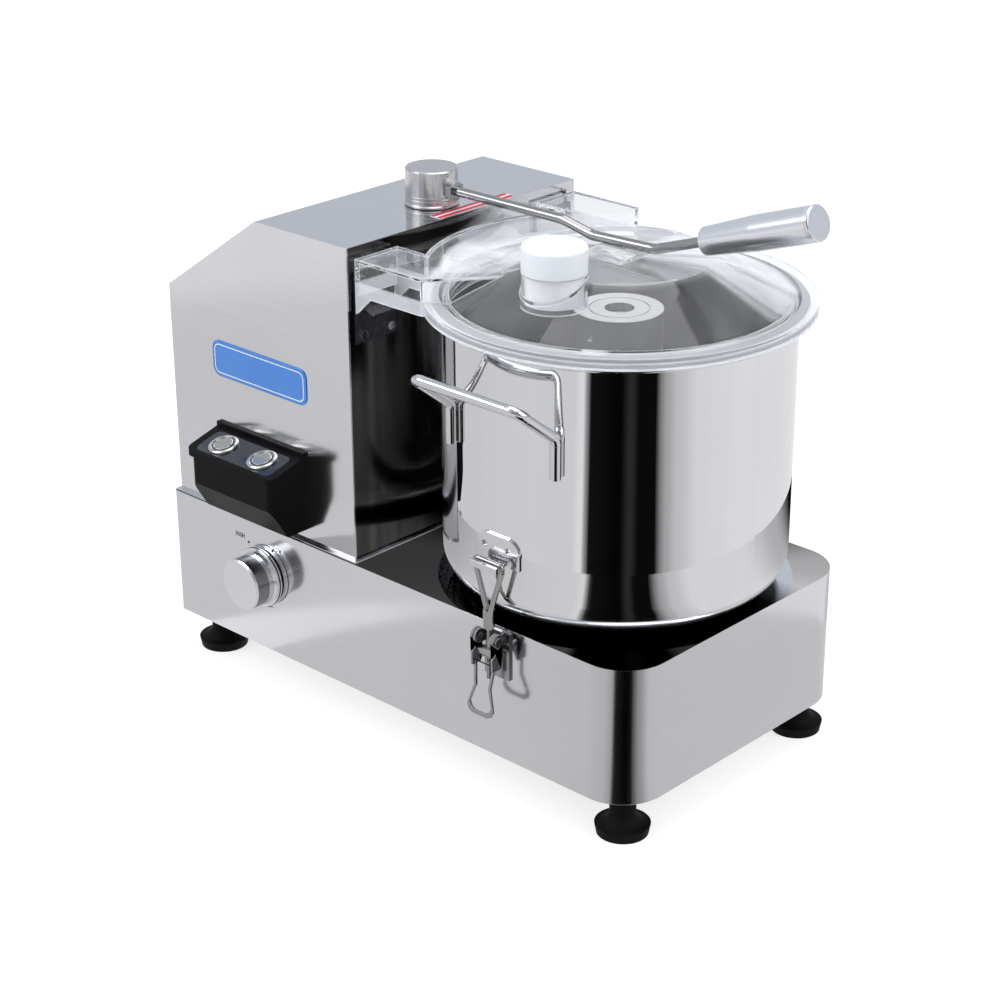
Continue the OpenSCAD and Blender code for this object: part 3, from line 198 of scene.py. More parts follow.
def soft_edge(nt, radius):
    n = add(nt, "ShaderNodeBevel", Radius=radius)
    n.samples = 4
    return n.outputs[0]


def place_of(nt):
    """The point's own place, as X, Y and Z."""
    return axes(nt, coords(nt))


def facing_up(nt):
    return remap(nt, axes(nt, true_normal(nt))["Z"], 0.0, 1.0, 0.7, 0.9)


def around_bowl(nt, here):
    """Distance from the bowl's axis, and the angle round it."""
    dx = math_node(nt, "SUBTRACT", here["X"], BOWL_X)
    y = here["Y"]
    square = plus(nt, times(nt, dx, dx), times(nt, y, y))
    return math_node(nt, "SQRT", square), math_node(nt, "ARCTAN2", y, dx)


def round_ramp(nt, turn, stops, tint=(1.0, 1.0, 1.0), blend="LINEAR"):
    """Colour that runs round an axis with the angle, from stops of (degrees, value)."""
    ramp = nt.nodes.new("ShaderNodeValToRGB")
    link(nt, remap(nt, turn, 0.0, 1.0, -math.pi, math.pi), ramp.inputs[0])
    ramp.color_ramp.interpolation = blend
    els = ramp.color_ramp.elements
    while len(els) > 1:
        els.remove(els[-1])
    for i, (deg, v) in enumerate(stops):
        at = (deg + 180) / 360
        e = els[0] if i == 0 else els.new(at)
        e.position = at
        e.color = (v * tint[0], v * tint[1], v * tint[2], 1)
    return ramp.outputs[0]


# Materials: every one is a node tree with its own detail.
COOL = (0.985, 0.99, 1.0)


def metal(name, colour, rough, grain=(6, 6, 900), grain_rough=0.06, grain_bump=0.02, smudge=0.05,
          wobble=0.0, edge=0.0006, flat_rough=None, side=None, inside=None, painted_light=None):
    """Metal with a fine grain and faint smudges.

    flat_rough is the roughness of level faces, side the colour of upright walls, painted darker as shade,
    inside a radius round the bowl's axis and the roughness added within it, and the last a function that
    paints reflections and shade into the colour.
    """
    m, nt = tree(name)
    b = add(nt, "ShaderNodeBsdfPrincipled", Metallic=1.0)
    fine = noise(nt, coords(nt, grain), 1.0, 4.0, 0.6)
    cloud = noise(nt, coords(nt), 9.0, 3.0, 0.55)
    dark = tuple(c * 0.972 * t for c, t in zip(colour, COOL))
    base = mix_colour(nt, remap(nt, fine, 0.0, 1.0), dark, colour)
    shade = mix_colour(nt, remap(nt, cloud, 0.0, 0.35), base, tuple(c * 0.9 for c in colour))
    if side is not None:
        # Painted shade: upright walls darker than the turned end, with specks of settled dust.
        dust = noise(nt, coords(nt), 420.0, 2.0, 0.7)
        dusty = tuple(min(1, c * 2.4) for c in side)
        wall = mix_colour(nt, remap(nt, dust, 0.0, 1.0, 0.62, 0.72), side, dusty)
        up = axes(nt, true_normal(nt))["Z"]
        shade = mix_colour(nt, remap(nt, up, 0.0, 1.0, 0.3, 0.8), wall, shade)
    # Painted reflections and painted shade, laid over the colour.
    if painted_light is not None:
        shade = painted_light(nt, shade)
    link(nt, shade, b.inputs["Base Color"])
    r = plus(nt, remap(nt, fine, -grain_rough / 2, grain_rough / 2), remap(nt, cloud, 0.0, smudge))
    if flat_rough is None:
        r = plus(nt, r, rough)
    else:
        up = axes(nt, true_normal(nt))["Z"]
        r = plus(nt, r, remap(nt, up, rough, flat_rough, 0.3, 0.9))
    if inside is not None:
        radius, rougher = inside
        far = around_bowl(nt, place_of(nt))[0]
        r = plus(nt, r, remap(nt, far, rougher, 0.0, radius - 0.0002, radius + 0.0002))
    link(nt, larger(nt, r, 0.015), b.inputs["Roughness"])
    normal = soft_edge(nt, edge)
    if wobble:
        normal = bump(nt, noise(nt, coords(nt), 7.0, 2.0, 0.4), wobble, 0.004, normal)
    link(nt, bump(nt, fine, grain_bump, 0.0004, normal), b.inputs["Normal"])
    surface(nt, b.outputs[0])
    return m


def plastic(name, colour, rough, speckle=600.0, relief=0.05, edge=0.0006, dust=0.06, coat=0.0, specular=0.5):
    """Moulding, rubber, paint or print with a fine relief and a little dust."""
    m, nt = tree(name)
    b = nt.nodes.new("ShaderNodeBsdfPrincipled")
    fine = noise(nt, coords(nt), speckle, 3.0, 0.6)
    cloud = noise(nt, coords(nt), 14.0, 3.0, 0.55)
    pale = tuple(min(1.0, c + dust * (1 - c)) for c in colour)
    link(nt, mix_colour(nt, remap(nt, cloud, 0.0, 1.0, 0.45, 0.8), colour, pale), b.inputs["Base Color"])
    link(nt, plus(nt, remap(nt, cloud, -0.05, 0.08), rough), b.inputs["Roughness"])
    b.inputs["Specular IOR Level"].default_value = specular
    b.inputs["Coat Weight"].default_value = coat
    b.inputs["Coat Roughness"].default_value = 0.06
    link(nt, bump(nt, fine, relief, 0.0003, soft_edge(nt, edge)), b.inputs["Normal"])
    surface(nt, b.outputs[0])
    return m


# Painted reflection on the lid's cone where it mirrors the white room, by the angle round the bowl.
CONE_PAINTED_REFLECTION_STOPS = [
    (-180, 0.12), (-168, 0.1), (-158, 0.38), (-132, 0.3), (-124, 0.04), (8, 0.03), (13, 0.3), (14.5, 0.05),
    (17, 0.35), (30, 0.42), (36, 0.2), (42, 0.5), (84, 0.45), (96, 0.08), (179, 0.12)]


LID_BAND_R, LID_BAND_TOP = 0.138, RIM_Z + 0.012      # the lid's outer band, over the bowl's rim
CONE_R, CONE_FOOT = 0.134, RIM_Z + 0.006


def clear(name, rough=0.006, ior=1.34, edge=0.0014):
    """Clear moulding: crisp refraction, with painted white lines on its soft edges as highlights and painted
    reflections of the white room.
    """
    m, nt = tree(name)
    b = nt.nodes.new("ShaderNodeBsdfPrincipled")
    b.inputs["Base Color"].default_value = COOL + (1,)
    b.inputs["Transmission Weight"].default_value = 1.0
    b.inputs["IOR"].default_value = ior
    b.inputs["Roughness"].default_value = rough
    link(nt, bump(nt, noise(nt, coords(nt), 22.0, 2.0, 0.4), 0.03, 0.002), b.inputs["Normal"])
    # Painted highlight: a bright line where the softened normal leaves the face's own.
    dot = nt.nodes.new("ShaderNodeVectorMath")
    dot.operation = "DOT_PRODUCT"
    link(nt, soft_edge(nt, edge), dot.inputs[0])
    link(nt, true_normal(nt), dot.inputs[1])
    line = remap(nt, math_node(nt, "ABSOLUTE", dot.outputs["Value"]), 0.9, 0.0, 0.9, 0.995)
    # Painted reflections of the white room on the rim, the flat top and the cone between them.
    here = place_of(nt)
    far, turn = around_bowl(nt, here)
    low = remap(nt, here["Z"], 1.0, 0.0, LID_BAND_TOP - 0.0015, LID_BAND_TOP)
    rim = times(nt, remap(nt, far, 0.0, 0.42, LID_BAND_R, LID_BAND_R + 0.001), low)
    top = times(nt, facing_up(nt), remap(nt, here["Z"], 0.0, 0.28, LID_TOP - 0.008, LID_TOP - 0.003))
    above = remap(nt, here["Z"], 0.0, 1.0, CONE_FOOT, CONE_FOOT + 0.002)
    within = remap(nt, far, 1.0, 0.0, CONE_R, CONE_R + 0.006)
    cone = times(nt, times(nt, round_ramp(nt, turn, CONE_PAINTED_REFLECTION_STOPS), above), within)
    streaks = remap(nt, noise(nt, coords(nt, (1, 1, 0.2)), 26.0, 2.0, 0.5), 0.7, 1.25)
    painted_reflection = times(nt, larger(nt, top, cone), streaks)
    # A pale diffuse mixed in wherever the painted highlights and reflections fall.
    painted_light_white = shader(nt, "ShaderNodeBsdfDiffuse", (0.78, 0.79, 0.81))
    seen = mix_shader(nt, larger(nt, line, larger(nt, rim, painted_reflection)), b.outputs[0], painted_light_white)
    see_through = shader(nt, "ShaderNodeBsdfTransparent", (0.96, 0.975, 0.985))
    surface(nt, mix_shader(nt, ray(nt, "Is Shadow Ray"), seen, see_through))
    return m


# What some metals mirror and where they lie in shade, painted over their colour.

def deck_painted_reflection(nt, shade):
    """Painted reflection of the bowl's dark underside on the deck, seen by the camera, all but its far right
    corner.
    """
    here = place_of(nt)
    near = remap(nt, here["Y"], 1.0, 0.0, 0.035, 0.075)
    left = remap(nt, here["X"], 1.0, 0.0, BOWL_X + 0.02, BOWL_X + 0.06)
    low = remap(nt, here["Z"], 1.0, 0.0, DECK_Z + 0.001, DECK_Z + 0.004)
    fac = times(nt, larger(nt, near, left), times(nt, low, facing_up(nt)))
    fac = times(nt, times(nt, fac, 0.985), ray(nt, "Is Camera Ray"))
    return mix_colour(nt, fac, shade, (0.004, 0.004, 0.005))


# Painted dark reflections on the bowl's inside, by the angle round it.
WALL_PAINTED_REFLECTION_STOPS = [
    (-180, 0.35), (-170, 0.05), (-150, 0.1), (30, 0.0), (70, 0.02), (78, 0.3), (82, 0.02), (92, 0.05),
    (97, 0.55), (101, 0.1), (106, 0.9), (160, 0.96), (166, 0.6), (170, 0.2), (179, 0.35)]


def bowl_painted_shade_and_reflection(nt, shade):
    """Painted shade under the turn of the bowl's bottom, and painted dark reflections on its inside."""
    here = place_of(nt)
    low = remap(nt, here["Z"], 1.0, 0.0, BOWL_Z + 0.0075, BOWL_Z + 0.0125)
    far, turn = around_bowl(nt, here)
    inner = remap(nt, far, 1.0, 0.0, BOWL_INNER_R - 0.0004, BOWL_INNER_R)
    wall = times(nt, inner, round_ramp(nt, turn, WALL_PAINTED_REFLECTION_STOPS))
    fac = larger(nt, times(nt, low, 0.97), times(nt, wall, 0.9))
    return mix_colour(nt, fac, shade, (0.006, 0.006, 0.007))


def knob_painted_shade(nt, shade):
    """Painted shade: the knob's side is darker than its turned face, as far back as its skirt."""
    across = math_node(nt, "ABSOLUTE", axes(nt, true_normal(nt))["Y"])
    wall = remap(nt, across, 1.0, 0.0, 0.3, 0.7)
    front = remap(nt, place_of(nt)["Y"], 0.75, 0.0, KNOB_LO.y + 0.0135, KNOB_LO.y + 0.0142)
    return mix_colour(nt, times(nt, wall, front), shade, (0.13, 0.13, 0.135))


def front_painted_reflection(nt, shade):
    """Painted reflection of the dark bowl on the tower's front, seen by the camera, in upright brown streaks.
    """
    streak = remap(nt, noise(nt, coords(nt, (0, 1, 0.02)), 60.0, 2.0, 0.6), 0.0, 1.0, 0.4, 0.72)
    tone = mix_colour(nt, streak, (0.004, 0.004, 0.004), (0.1, 0.085, 0.062))
    near = remap(nt, place_of(nt)["Y"], 0.9, 0.0, -0.01, 0.05)
    forward = remap(nt, axes(nt, true_normal(nt))["X"], 0.0, 1.0, 0.7, 0.9)
    fac = times(nt, times(nt, forward, near), ray(nt, "Is Camera Ray"))
    return mix_colour(nt, fac, shade, tone)


SATIN = metal("satin_sheet", (0.76, 0.76, 0.775), 0.11, grain=(5, 5, 700), grain_rough=0.035,
              grain_bump=0.006, flat_rough=0.05, painted_light=deck_painted_reflection)
FRONT = metal("tower_sheet", (0.7, 0.7, 0.715), 0.09, grain=(5, 90, 1.5), grain_rough=0.03,
              grain_bump=0.006, smudge=0.04, wobble=0.04, flat_rough=0.06, painted_light=front_painted_reflection)
MIRROR = metal("polished_bowl", (0.8, 0.8, 0.81), 0.02, grain=(70, 70, 2.5), grain_rough=0.012,
               grain_bump=0.003, smudge=0.02, wobble=0.035, edge=0.0005, inside=(BOWL_INNER_R, 0.1),
               painted_light=bowl_painted_shade_and_reflection)
BRIGHT = metal("polished_rod", (0.7, 0.7, 0.71), 0.07, grain=(30, 30, 30), grain_rough=0.04, smudge=0.04,
               edge=0.0003)
BRUSHED = metal("brushed_steel", (0.6, 0.59, 0.58), 0.2, grain=(300, 300, 4), grain_rough=0.05,
                grain_bump=0.004, smudge=0.03)
GRIP = metal("grip_metal", (0.84, 0.84, 0.86), 0.2, grain=(30, 30, 30), grain_rough=0.02, grain_bump=0.0,
             smudge=0.02, edge=0.0008)
ROD = metal("lever_rod_steel", (0.38, 0.375, 0.37), 0.14, grain=(30, 30, 30), grain_rough=0.05, smudge=0.04,
            edge=0.0003)
LATCH = metal("latch_steel", (0.4, 0.4, 0.41), 0.13, grain=(200, 200, 40), smudge=0.1, edge=0.0004)
KEEPER = metal("keeper_steel", (0.74, 0.74, 0.76), 0.1, grain=(200, 200, 40), grain_rough=0.05, smudge=0.06,
               edge=0.0004)
BUTTON = metal("button_chrome", (0.62, 0.6, 0.56), 0.16, grain=(400, 400, 400), grain_rough=0.05, edge=0.0004)
KNOB = metal("turned_aluminium", (0.84, 0.84, 0.86), 0.26, grain=(4, 300, 4), grain_rough=0.02,
             grain_bump=0.0, smudge=0.01, edge=0.0005, painted_light=knob_painted_shade)
HUB = metal("machined_hub", (0.66, 0.66, 0.68), 0.3, grain=(300, 300, 300), grain_bump=0.008,
            side=(0.16, 0.165, 0.18))
BLADE = metal("ground_blade", (0.6, 0.61, 0.62), 0.12, grain=(900, 60, 60), grain_rough=0.08, edge=0.0003)
STEEL = metal("machined_steel", (0.5, 0.5, 0.51), 0.3, grain=(300, 300, 300), grain_rough=0.12, edge=0.0003)
CAST = metal("grey_casting", (0.32, 0.32, 0.33), 0.5, grain=(250, 250, 250), grain_rough=0.12, grain_bump=0.3,
             edge=0.0005)
DARKMETAL = metal("bracket_sheet", (0.09, 0.09, 0.1), 0.25, grain=(60, 300, 60), grain_rough=0.1, edge=0.0004)
RUBBER = plastic("foot_rubber", (0.0015, 0.0015, 0.002), 0.6, speckle=900.0, relief=0.15, dust=0.01,
                 specular=0.1)
BLACK = plastic("black_moulding", (0.0012, 0.0012, 0.0016), 0.42, speckle=700.0, relief=0.08, dust=0.004,
                specular=0.1)
PANEL = plastic("dark_panel", (0.012, 0.014, 0.02), 0.1, speckle=400.0, relief=0.02, dust=0.01, coat=0.5)
WHITE = plastic("white_nylon", (0.84, 0.85, 0.87), 0.34, speckle=500.0, relief=0.03, dust=0.0, edge=0.0012)
PAINT = plastic("motor_paint", (0.1, 0.12, 0.15), 0.4)
BOARD = plastic("circuit_board", (0.02, 0.12, 0.05), 0.35, speckle=900.0)
SEAT = plastic("seat_rubber", (0.08, 0.08, 0.085), 0.5)
CLEAR = clear("clear_lid")
BLUE = plastic("blue_enamel", (0.03, 0.19, 0.58), 0.25, speckle=500.0, relief=0.02, dust=0.02, coat=0.5)
LINE = plastic("pale_line", (0.75, 0.8, 0.86), 0.35, speckle=500.0, relief=0.02, dust=0.0)
INK = plastic("black_print", (0.006, 0.006, 0.007), 0.5, speckle=700.0, relief=0.03, dust=0.01)
RED = plastic("red_print", (0.55, 0.003, 0.015), 0.4, speckle=500.0, relief=0.02, dust=0.0)

LOOKS = {
    "base_shell": SATIN, "tower_side_left": SATIN, "tower_side_right": SATIN, "tower_wrap": FRONT,
    "tower_flange": BRIGHT, "bottom_plate": STEEL,
    "foot_front_left": RUBBER, "foot_front_right": RUBBER, "foot_rear_left": RUBBER,
    "foot_rear_right": RUBBER,
    "foot_screws": STEEL, "lid_brackets": DARKMETAL, "bracket_screws": BRIGHT,
    "control_box": BLACK, "button_plate": PANEL, "button_bezels": BRIGHT, "start_button": BUTTON,
    "stop_button": BUTTON, "speed_knob": KNOB, "knob_shaft": STEEL, "speed_pot": BLACK,
    "latch_bracket_left": LATCH, "latch_bracket_right": LATCH, "latch_rivets": BRIGHT,
    "latch_lever_left": LATCH, "latch_lever_right": LATCH, "latch_bail_left": ROD, "latch_bail_right": ROD,
    "latch_trunnion_left": LATCH, "latch_trunnion_right": LATCH, "latch_keeper_left": KEEPER,
    "latch_keeper_right": KEEPER, "bowl": MIRROR, "bowl_handle_left": BRIGHT, "bowl_handle_right": BRIGHT,
    "bowl_seat": SEAT, "lid": CLEAR, "feed_plug": WHITE, "knife_hub": HUB, "blade_lower": BLADE,
    "blade_upper": BLADE, "blade_spacer": HUB, "knife_screws": STEEL, "drive_shaft": STEEL,
    "spindle_housing": CAST, "spindle_bearings": BRIGHT, "spindle_pulley": CAST, "drive_belt": RUBBER,
    "motor_body": PAINT, "motor_shaft": STEEL, "motor_pulley": CAST, "lever_hub": BRUSHED,
    "lever_nut": LATCH, "lever_rod": ROD, "lever_grip": GRIP, "grip_cap": GRIP, "lever_shaft": STEEL,
    "safety_switch": BLACK, "control_board": BOARD, "cable_gland": BLACK,
}
for name, obj in nodes.items():
    obj.data.materials.clear()
    obj.data.materials.append(LOOKS[name])


# Mesh builders.
X, Y, Z = Vector((1, 0, 0)), Vector((0, 1, 0)), Vector((0, 0, 1))


def polar(r, degrees):
    return r * math.cos(math.radians(degrees)), r * math.sin(math.radians(degrees))


def scene_object(name, data):
    o = bpy.data.objects.new(name, data)
    bpy.context.scene.collection.objects.link(o)
    return o


def mesh_object(name, bm, mat):
    me = bpy.data.meshes.new(name)
    bm.to_mesh(me)
    bm.free()
    me.materials.append(mat)
    return scene_object(name, me)


def piece(name, bm, mat, body, smooth=True, bevel=0.0):
    """Piece that rides on a body."""
    bmesh.ops.recalc_face_normals(bm, faces=bm.faces[:])
    o = mesh_object(name, bm, mat)
    if smooth:
        for p in o.data.polygons:
            p.use_smooth = True
        o.data.set_sharp_from_angle(angle=math.radians(35))
    if bevel:
        md = o.modifiers.new("edge", "BEVEL")
        md.width, md.segments, md.limit_method = bevel, 2, "ANGLE"
    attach(o, body)
    return o


def place(origin, x, y, z):
    """Matrix of a local frame: its origin and its three axes."""
    m = Matrix((x, y, z)).transposed().to_4x4()
    m.translation = Vector(origin)
    return m


def shifted(m, x, y, z):
    return m @ Matrix.Translation((x, y, z))


def rounded_outline(l, h, r, steps=8):
    """Rectangle with round corners, each in this many steps."""
    pts = []
    for cx, cy, a0 in ((l / 2 - r, h / 2 - r, 0), (-l / 2 + r, h / 2 - r, 90),
                       (-l / 2 + r, -h / 2 + r, 180), (l / 2 - r, -h / 2 + r, 270)):
        for i in range(steps + 1):
            x, y = polar(r, a0 + 90 * i / steps)
            pts.append((cx + x, cy + y))
    return pts


def slab(bm, pts, t, m, hole=None):
    """Plate of thickness t along local Z over the outline pts, with an optional hole."""
    def ring(ps, z):
        return [bm.verts.new(m @ Vector((x, y, z))) for x, y in ps]
    a, b = ring(pts, 0), ring(pts, t)
    n = len(pts)
    for i in range(n):
        bm.faces.new((a[i], a[(i + 1) % n], b[(i + 1) % n], b[i]))
    if hole is None:
        bm.faces.new(b)
        bm.faces.new(list(reversed(a)))
    else:
        c, d = ring(hole, 0), ring(hole, t)
        for i in range(n):
            j = (i + 1) % n
            bm.faces.new((c[j], c[i], d[i], d[j]))
            bm.faces.new((b[i], b[j], d[j], d[i]))
            bm.faces.new((a[j], a[i], c[i], c[j]))


def lathe(bm, profile, m, steps):
    """Open surface turned round local Z from points of (radius, height)."""
    rings = []
    for r, z in profile:
        turns = [2 * math.pi * i / steps for i in range(steps)]
        rings.append([bm.verts.new(m @ Vector((r * math.cos(a), r * math.sin(a), z))) for a in turns])
    for p, q in zip(rings, rings[1:]):
        for i in range(steps):
            j = (i + 1) % steps
            bm.faces.new((p[i], p[j], q[j], q[i]))


def band(foot_r, top_r, z0, z1, slope):
    """Profile of a band that stands proud between two heights, with sloped edges."""
    return [(foot_r, z0), (top_r, z0 + slope), (top_r, z1 - slope), (foot_r, z1)]


# Badge place on the tower's side: a bare blue plate with a thin pale line inside its edge.
# Outlines are (length, height, corner radius).
PRINT_T = 0.00012
BADGE_X, BADGE_Z = MID_X - 0.1445, DECK_Z + 0.1368
BADGE, BADGE_T = (0.115, 0.0315, 0.008), 0.0009
BADGE_LINE, BADGE_LINE_HOLE = (0.1095, 0.026, 0.0062), (0.1075, 0.024, 0.0052)
badge_frame = place((BADGE_X, TOWER_LO.y, BADGE_Z), X, Z, -Y)
bm = bmesh.new()
slab(bm, rounded_outline(*BADGE), BADGE_T, badge_frame)
piece("badge_plate", bm, BLUE, "frame", bevel=0.0003)
bm = bmesh.new()
slab(bm, rounded_outline(*BADGE_LINE), PRINT_T, shifted(badge_frame, 0, 0, BADGE_T),
     hole=rounded_outline(*BADGE_LINE_HOLE))
piece("badge_line", bm, LINE, "frame")

# A dark line and a bright ring round the knob.
knob_frame = place((KNOB_C.x, KNOB_HI.y, KNOB_C.z), X, Z, -Y)
KNOB_LINE = band(KNOB_R + 0.00005, KNOB_R + 0.0003, 0.0029, 0.0041, 0.0002)
KNOB_RING = band(KNOB_R - 0.0034, KNOB_R - 0.0031, 0.0077, 0.0094, 0.0002)
for name, profile, mat, slot in (("knob_line", KNOB_LINE, INK, "rubber_black"),
                                 ("knob_ring", KNOB_RING, BRIGHT, "knob_aluminium")):
    bm = bmesh.new()
    lathe(bm, profile, knob_frame, 96)
    piece(name, bm, mat, "knob")

# Letters as strokes in a box of height 1, and how far each moves the next one on.
STROKES = {
    "H": [((0, 0), (0, 1)), ((0.6, 0), (0.6, 1)), ((0, 0.5), (0.6, 0.5))],
    "I": [((0.15, 0), (0.15, 1))],
    "G": [((0.6, 0.85), (0.3, 1)), ((0.3, 1), (0, 0.7)), ((0, 0.7), (0, 0.3)), ((0, 0.3), (0.3, 0)),
          ((0.3, 0), (0.6, 0.2)), ((0.6, 0.2), (0.6, 0.5)), ((0.6, 0.5), (0.35, 0.5))],
    "L": [((0, 1), (0, 0)), ((0, 0), (0.5, 0))],
    "O": [((0.3, 1), (0, 0.7)), ((0, 0.7), (0, 0.3)), ((0, 0.3), (0.3, 0)), ((0.3, 0), (0.6, 0.3)),
          ((0.6, 0.3), (0.6, 0.7)), ((0.6, 0.7), (0.3, 1))],
    "W": [((0, 1), (0.2, 0)), ((0.2, 0), (0.4, 0.7)), ((0.4, 0.7), (0.6, 0)), ((0.6, 0), (0.8, 1))],
}
WIDTHS = {"H": 0.85, "I": 0.5, "G": 0.85, "L": 0.75, "O": 0.85, "W": 1.0}
STROKE_W = 0.15


def stroke(bm, m, a, b, w):
    """Printed stroke from a to b, w wide."""
    a, b = Vector((a[0], a[1], 0)), Vector((b[0], b[1], 0))
    d = (b - a).normalized() * w / 2
    n = Vector((-d.y, d.x, 0))
    slab(bm, [tuple(q[:2]) for q in (a - d - n, b + d - n, b + d + n, a - d + n)], PRINT_T, m)


def word(bm, m, text, x, y, h):
    for ch in text:
        for a, b in STROKES[ch]:
            stroke(bm, m, (x + a[0] * h, y + a[1] * h), (x + b[0] * h, y + b[1] * h), h * STROKE_W)
        x += WIDTHS[ch] * h


# Marks round the knob: two words, two dots and an arc below. Places are from the knob's axis.
LETTER_H, WORD_Y, HIGH_X, LOW_X = 0.0038, 0.0275, -0.0335, 0.0145
DOTS, DOT_W, DOT_R = ((-0.0175, 0.0255), (0.0125, 0.0265)), 0.0024, 0.00119
ARC_R, ARC_W, ARC_START, ARC_TURN, ARC_STEPS = 0.0285, 0.0007, 250, 40, 14
dial = place((KNOB_C.x, SIDE_Y, KNOB_C.z), X, Z, -Y)
bm = bmesh.new()
word(bm, dial, "HIGH", HIGH_X, WORD_Y, LETTER_H)
word(bm, dial, "LOW", LOW_X, WORD_Y, LETTER_H)
for x, y in DOTS:
    slab(bm, rounded_outline(DOT_W, DOT_W, DOT_R, 6), PRINT_T, shifted(dial, x, y, 0))
for i in range(ARC_STEPS):
    a, b = (polar(ARC_R, ARC_START + ARC_TURN * k / ARC_STEPS) for k in (i, i + 1))
    stroke(bm, dial, a, b, ARC_W)
piece("dial_marks", bm, INK, "frame", smooth=False)

# Push buttons: a dark gap and a raised ring on each bezel, a fine ring on each cap.
# Profiles are (radius, height over the cap's top).
PANEL_FALL, PANEL_DEPTH = 0.010, 0.036
GAP = [(0.0083, -0.0006), (0.0086, -0.0003), (0.0094, -0.0003), (0.0096, -0.0007)]
COLLAR = [(0.0100, -0.0007), (0.0104, 0.0001), (0.0112, 0.0003), (0.0122, 0.0000), (0.0130, -0.0008),
          (0.0131, -0.0016)]
CAP_RING = [(0.0076, -0.00005), (0.0078, 0.00025), (0.0083, 0.00012), (0.0085, -0.0004)]
slope = math.atan2(PANEL_FALL, PANEL_DEPTH)
press = Vector((0, -math.sin(slope), math.cos(slope)))
for key, key_body in (("start_button", "start_key"), ("stop_button", "stop_key")):
    points = [v.co for v in nodes[key].data.vertices]
    top = max(p.dot(press) for p in points)
    flat = [p for p in points if p.dot(press) > top - 0.00005]
    button_frame = place(sum(flat, Vector()) / len(flat), X, press.cross(X), press)
    for part, profile, mat, body, slot in (("_gap", GAP, INK, "frame", "rubber_black"),
                                           ("_collar", COLLAR, BUTTON, "frame", "stainless_polished"),
                                           ("_rings", CAP_RING, BUTTON, key_body, "stainless_polished")):
        bm = bmesh.new()
        lathe(bm, profile, button_frame, 64)
        piece(key + part, bm, mat, body)

# Lever hub: two turned rings near its foot.
HUB_RING_Z, HUB_RING_HALF = (0.0062, 0.0092), 0.0006
HUB_RING_FOOT_R, HUB_RING_R = 0.02155, 0.0218
hub_frame = place((HUB_C.x, HUB_C.y, HUB_LO.z), X, Y, Z)
bm = bmesh.new()
for z in HUB_RING_Z:
    profile = band(HUB_RING_FOOT_R, HUB_RING_R, z - HUB_RING_HALF, z + HUB_RING_HALF, HUB_RING_HALF / 2)
    lathe(bm, profile, hub_frame, 72)
piece("hub_rings", bm, STEEL, "locking_lever")

# A bare red and white strip beside the hub.
STRIP, STRIP_T = (0.088, 0.0115, 0.001, 3), 0.0002
STRIP_RED, STRIP_RED_Y = (0.0865, 0.0042, 0.0008, 3), 0.0034
strip_x = min(HUB_C.x + 0.0305, TOWER_HI.x - 0.008)
strip = place((strip_x, HUB_C.y + 0.017, TOWER_HI.z), Y, -X, Z)
bm = bmesh.new()
slab(bm, rounded_outline(*STRIP), STRIP_T, strip)
piece("position_strip", bm, LINE, "frame")
bm = bmesh.new()
for y in (-STRIP_RED_Y, STRIP_RED_Y):
    slab(bm, rounded_outline(*STRIP_RED), PRINT_T, shifted(strip, 0, y, STRIP_T))
piece("position_strip_red", bm, RED, "frame")

# Latch levers: two cheeks that run on into an open finger loop, which leans outwards.
PIVOT_OUT = 0.013      # pivot beyond the base's side
PIVOT_R = 0.006        # cheek round the pivot
CHEEK_T = 0.002
CHEEK_DROP = 0.011     # cheek below the trunnion's axis
LOOP_DROP = 0.008      # start of the loop below the trunnion's axis
LOOP_OUT = 0.0012      # its face beyond the pivot
LOOP_LEAN = 0.006      # how far its foot leans out
LOOP_T, LOOP_WALL, LOOP_FOOT = 0.0022, 0.0026, 0.0034


def loop_outline(half, l, t, low):
    """Finger loop l long, drawn in by t on its sides and reaching down to low."""
    right_side = [(half - 0.0003 - t, 0.0), (0.0088 - t, -0.45 * l), (0.0138 - t, -low + 0.0062),
                  (0.0118 - t, -low + 0.002), (0.0078 - t, -low)]
    return right_side + [(-x, y) for x, y in reversed(right_side)]


for side, tag in ((-1, "right"), (1, "left")):
    lo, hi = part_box("latch_lever_" + tag)
    mid_x, half = (lo.x + hi.x) / 2, (hi.x - lo.x) / 2
    trunnion_z = middle(*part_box("latch_trunnion_" + tag)).z
    pivot_z = hi.z - PIVOT_R
    out = abs(SIDE_Y) + PIVOT_OUT
    rim = [(out + y, pivot_z + z) for y, z in (polar(PIVOT_R, 180 - 15 * i) for i in range(13))]
    rim += [(out - 0.008, trunnion_z), (out - 0.0035, trunnion_z - CHEEK_DROP),
            (out + 0.006, trunnion_z - CHEEK_DROP), (out + 0.0062, trunnion_z)]
    bm = bmesh.new()
    for x in (mid_x - half, mid_x + half - CHEEK_T):
        slab(bm, rim, CHEEK_T, place((x, 0, 0), Y * side, Z, X))
    piece("latch_cheeks_" + tag, bm, LATCH, "toggle_" + tag,
          smooth=False, bevel=0.0004)
    loop_z = trunnion_z - LOOP_DROP
    loop_l = loop_z - lo.z - 0.0008
    lean = math.asin(LOOP_LEAN / loop_l)
    down = Vector((0, side * math.sin(lean), -math.cos(lean)))
    m = place((mid_x, side * (out + LOOP_OUT), loop_z), X, -down, X.cross(-down))
    bm = bmesh.new()
    slab(bm, loop_outline(half, loop_l, 0.0, loop_l), LOOP_T, m,
         hole=loop_outline(half, loop_l, LOOP_WALL, loop_l - LOOP_FOOT))
    o = piece("latch_loop_" + tag, bm, LATCH, "toggle_" + tag,
              smooth=False, bevel=0.0006)
    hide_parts("latch_lever_" + tag)

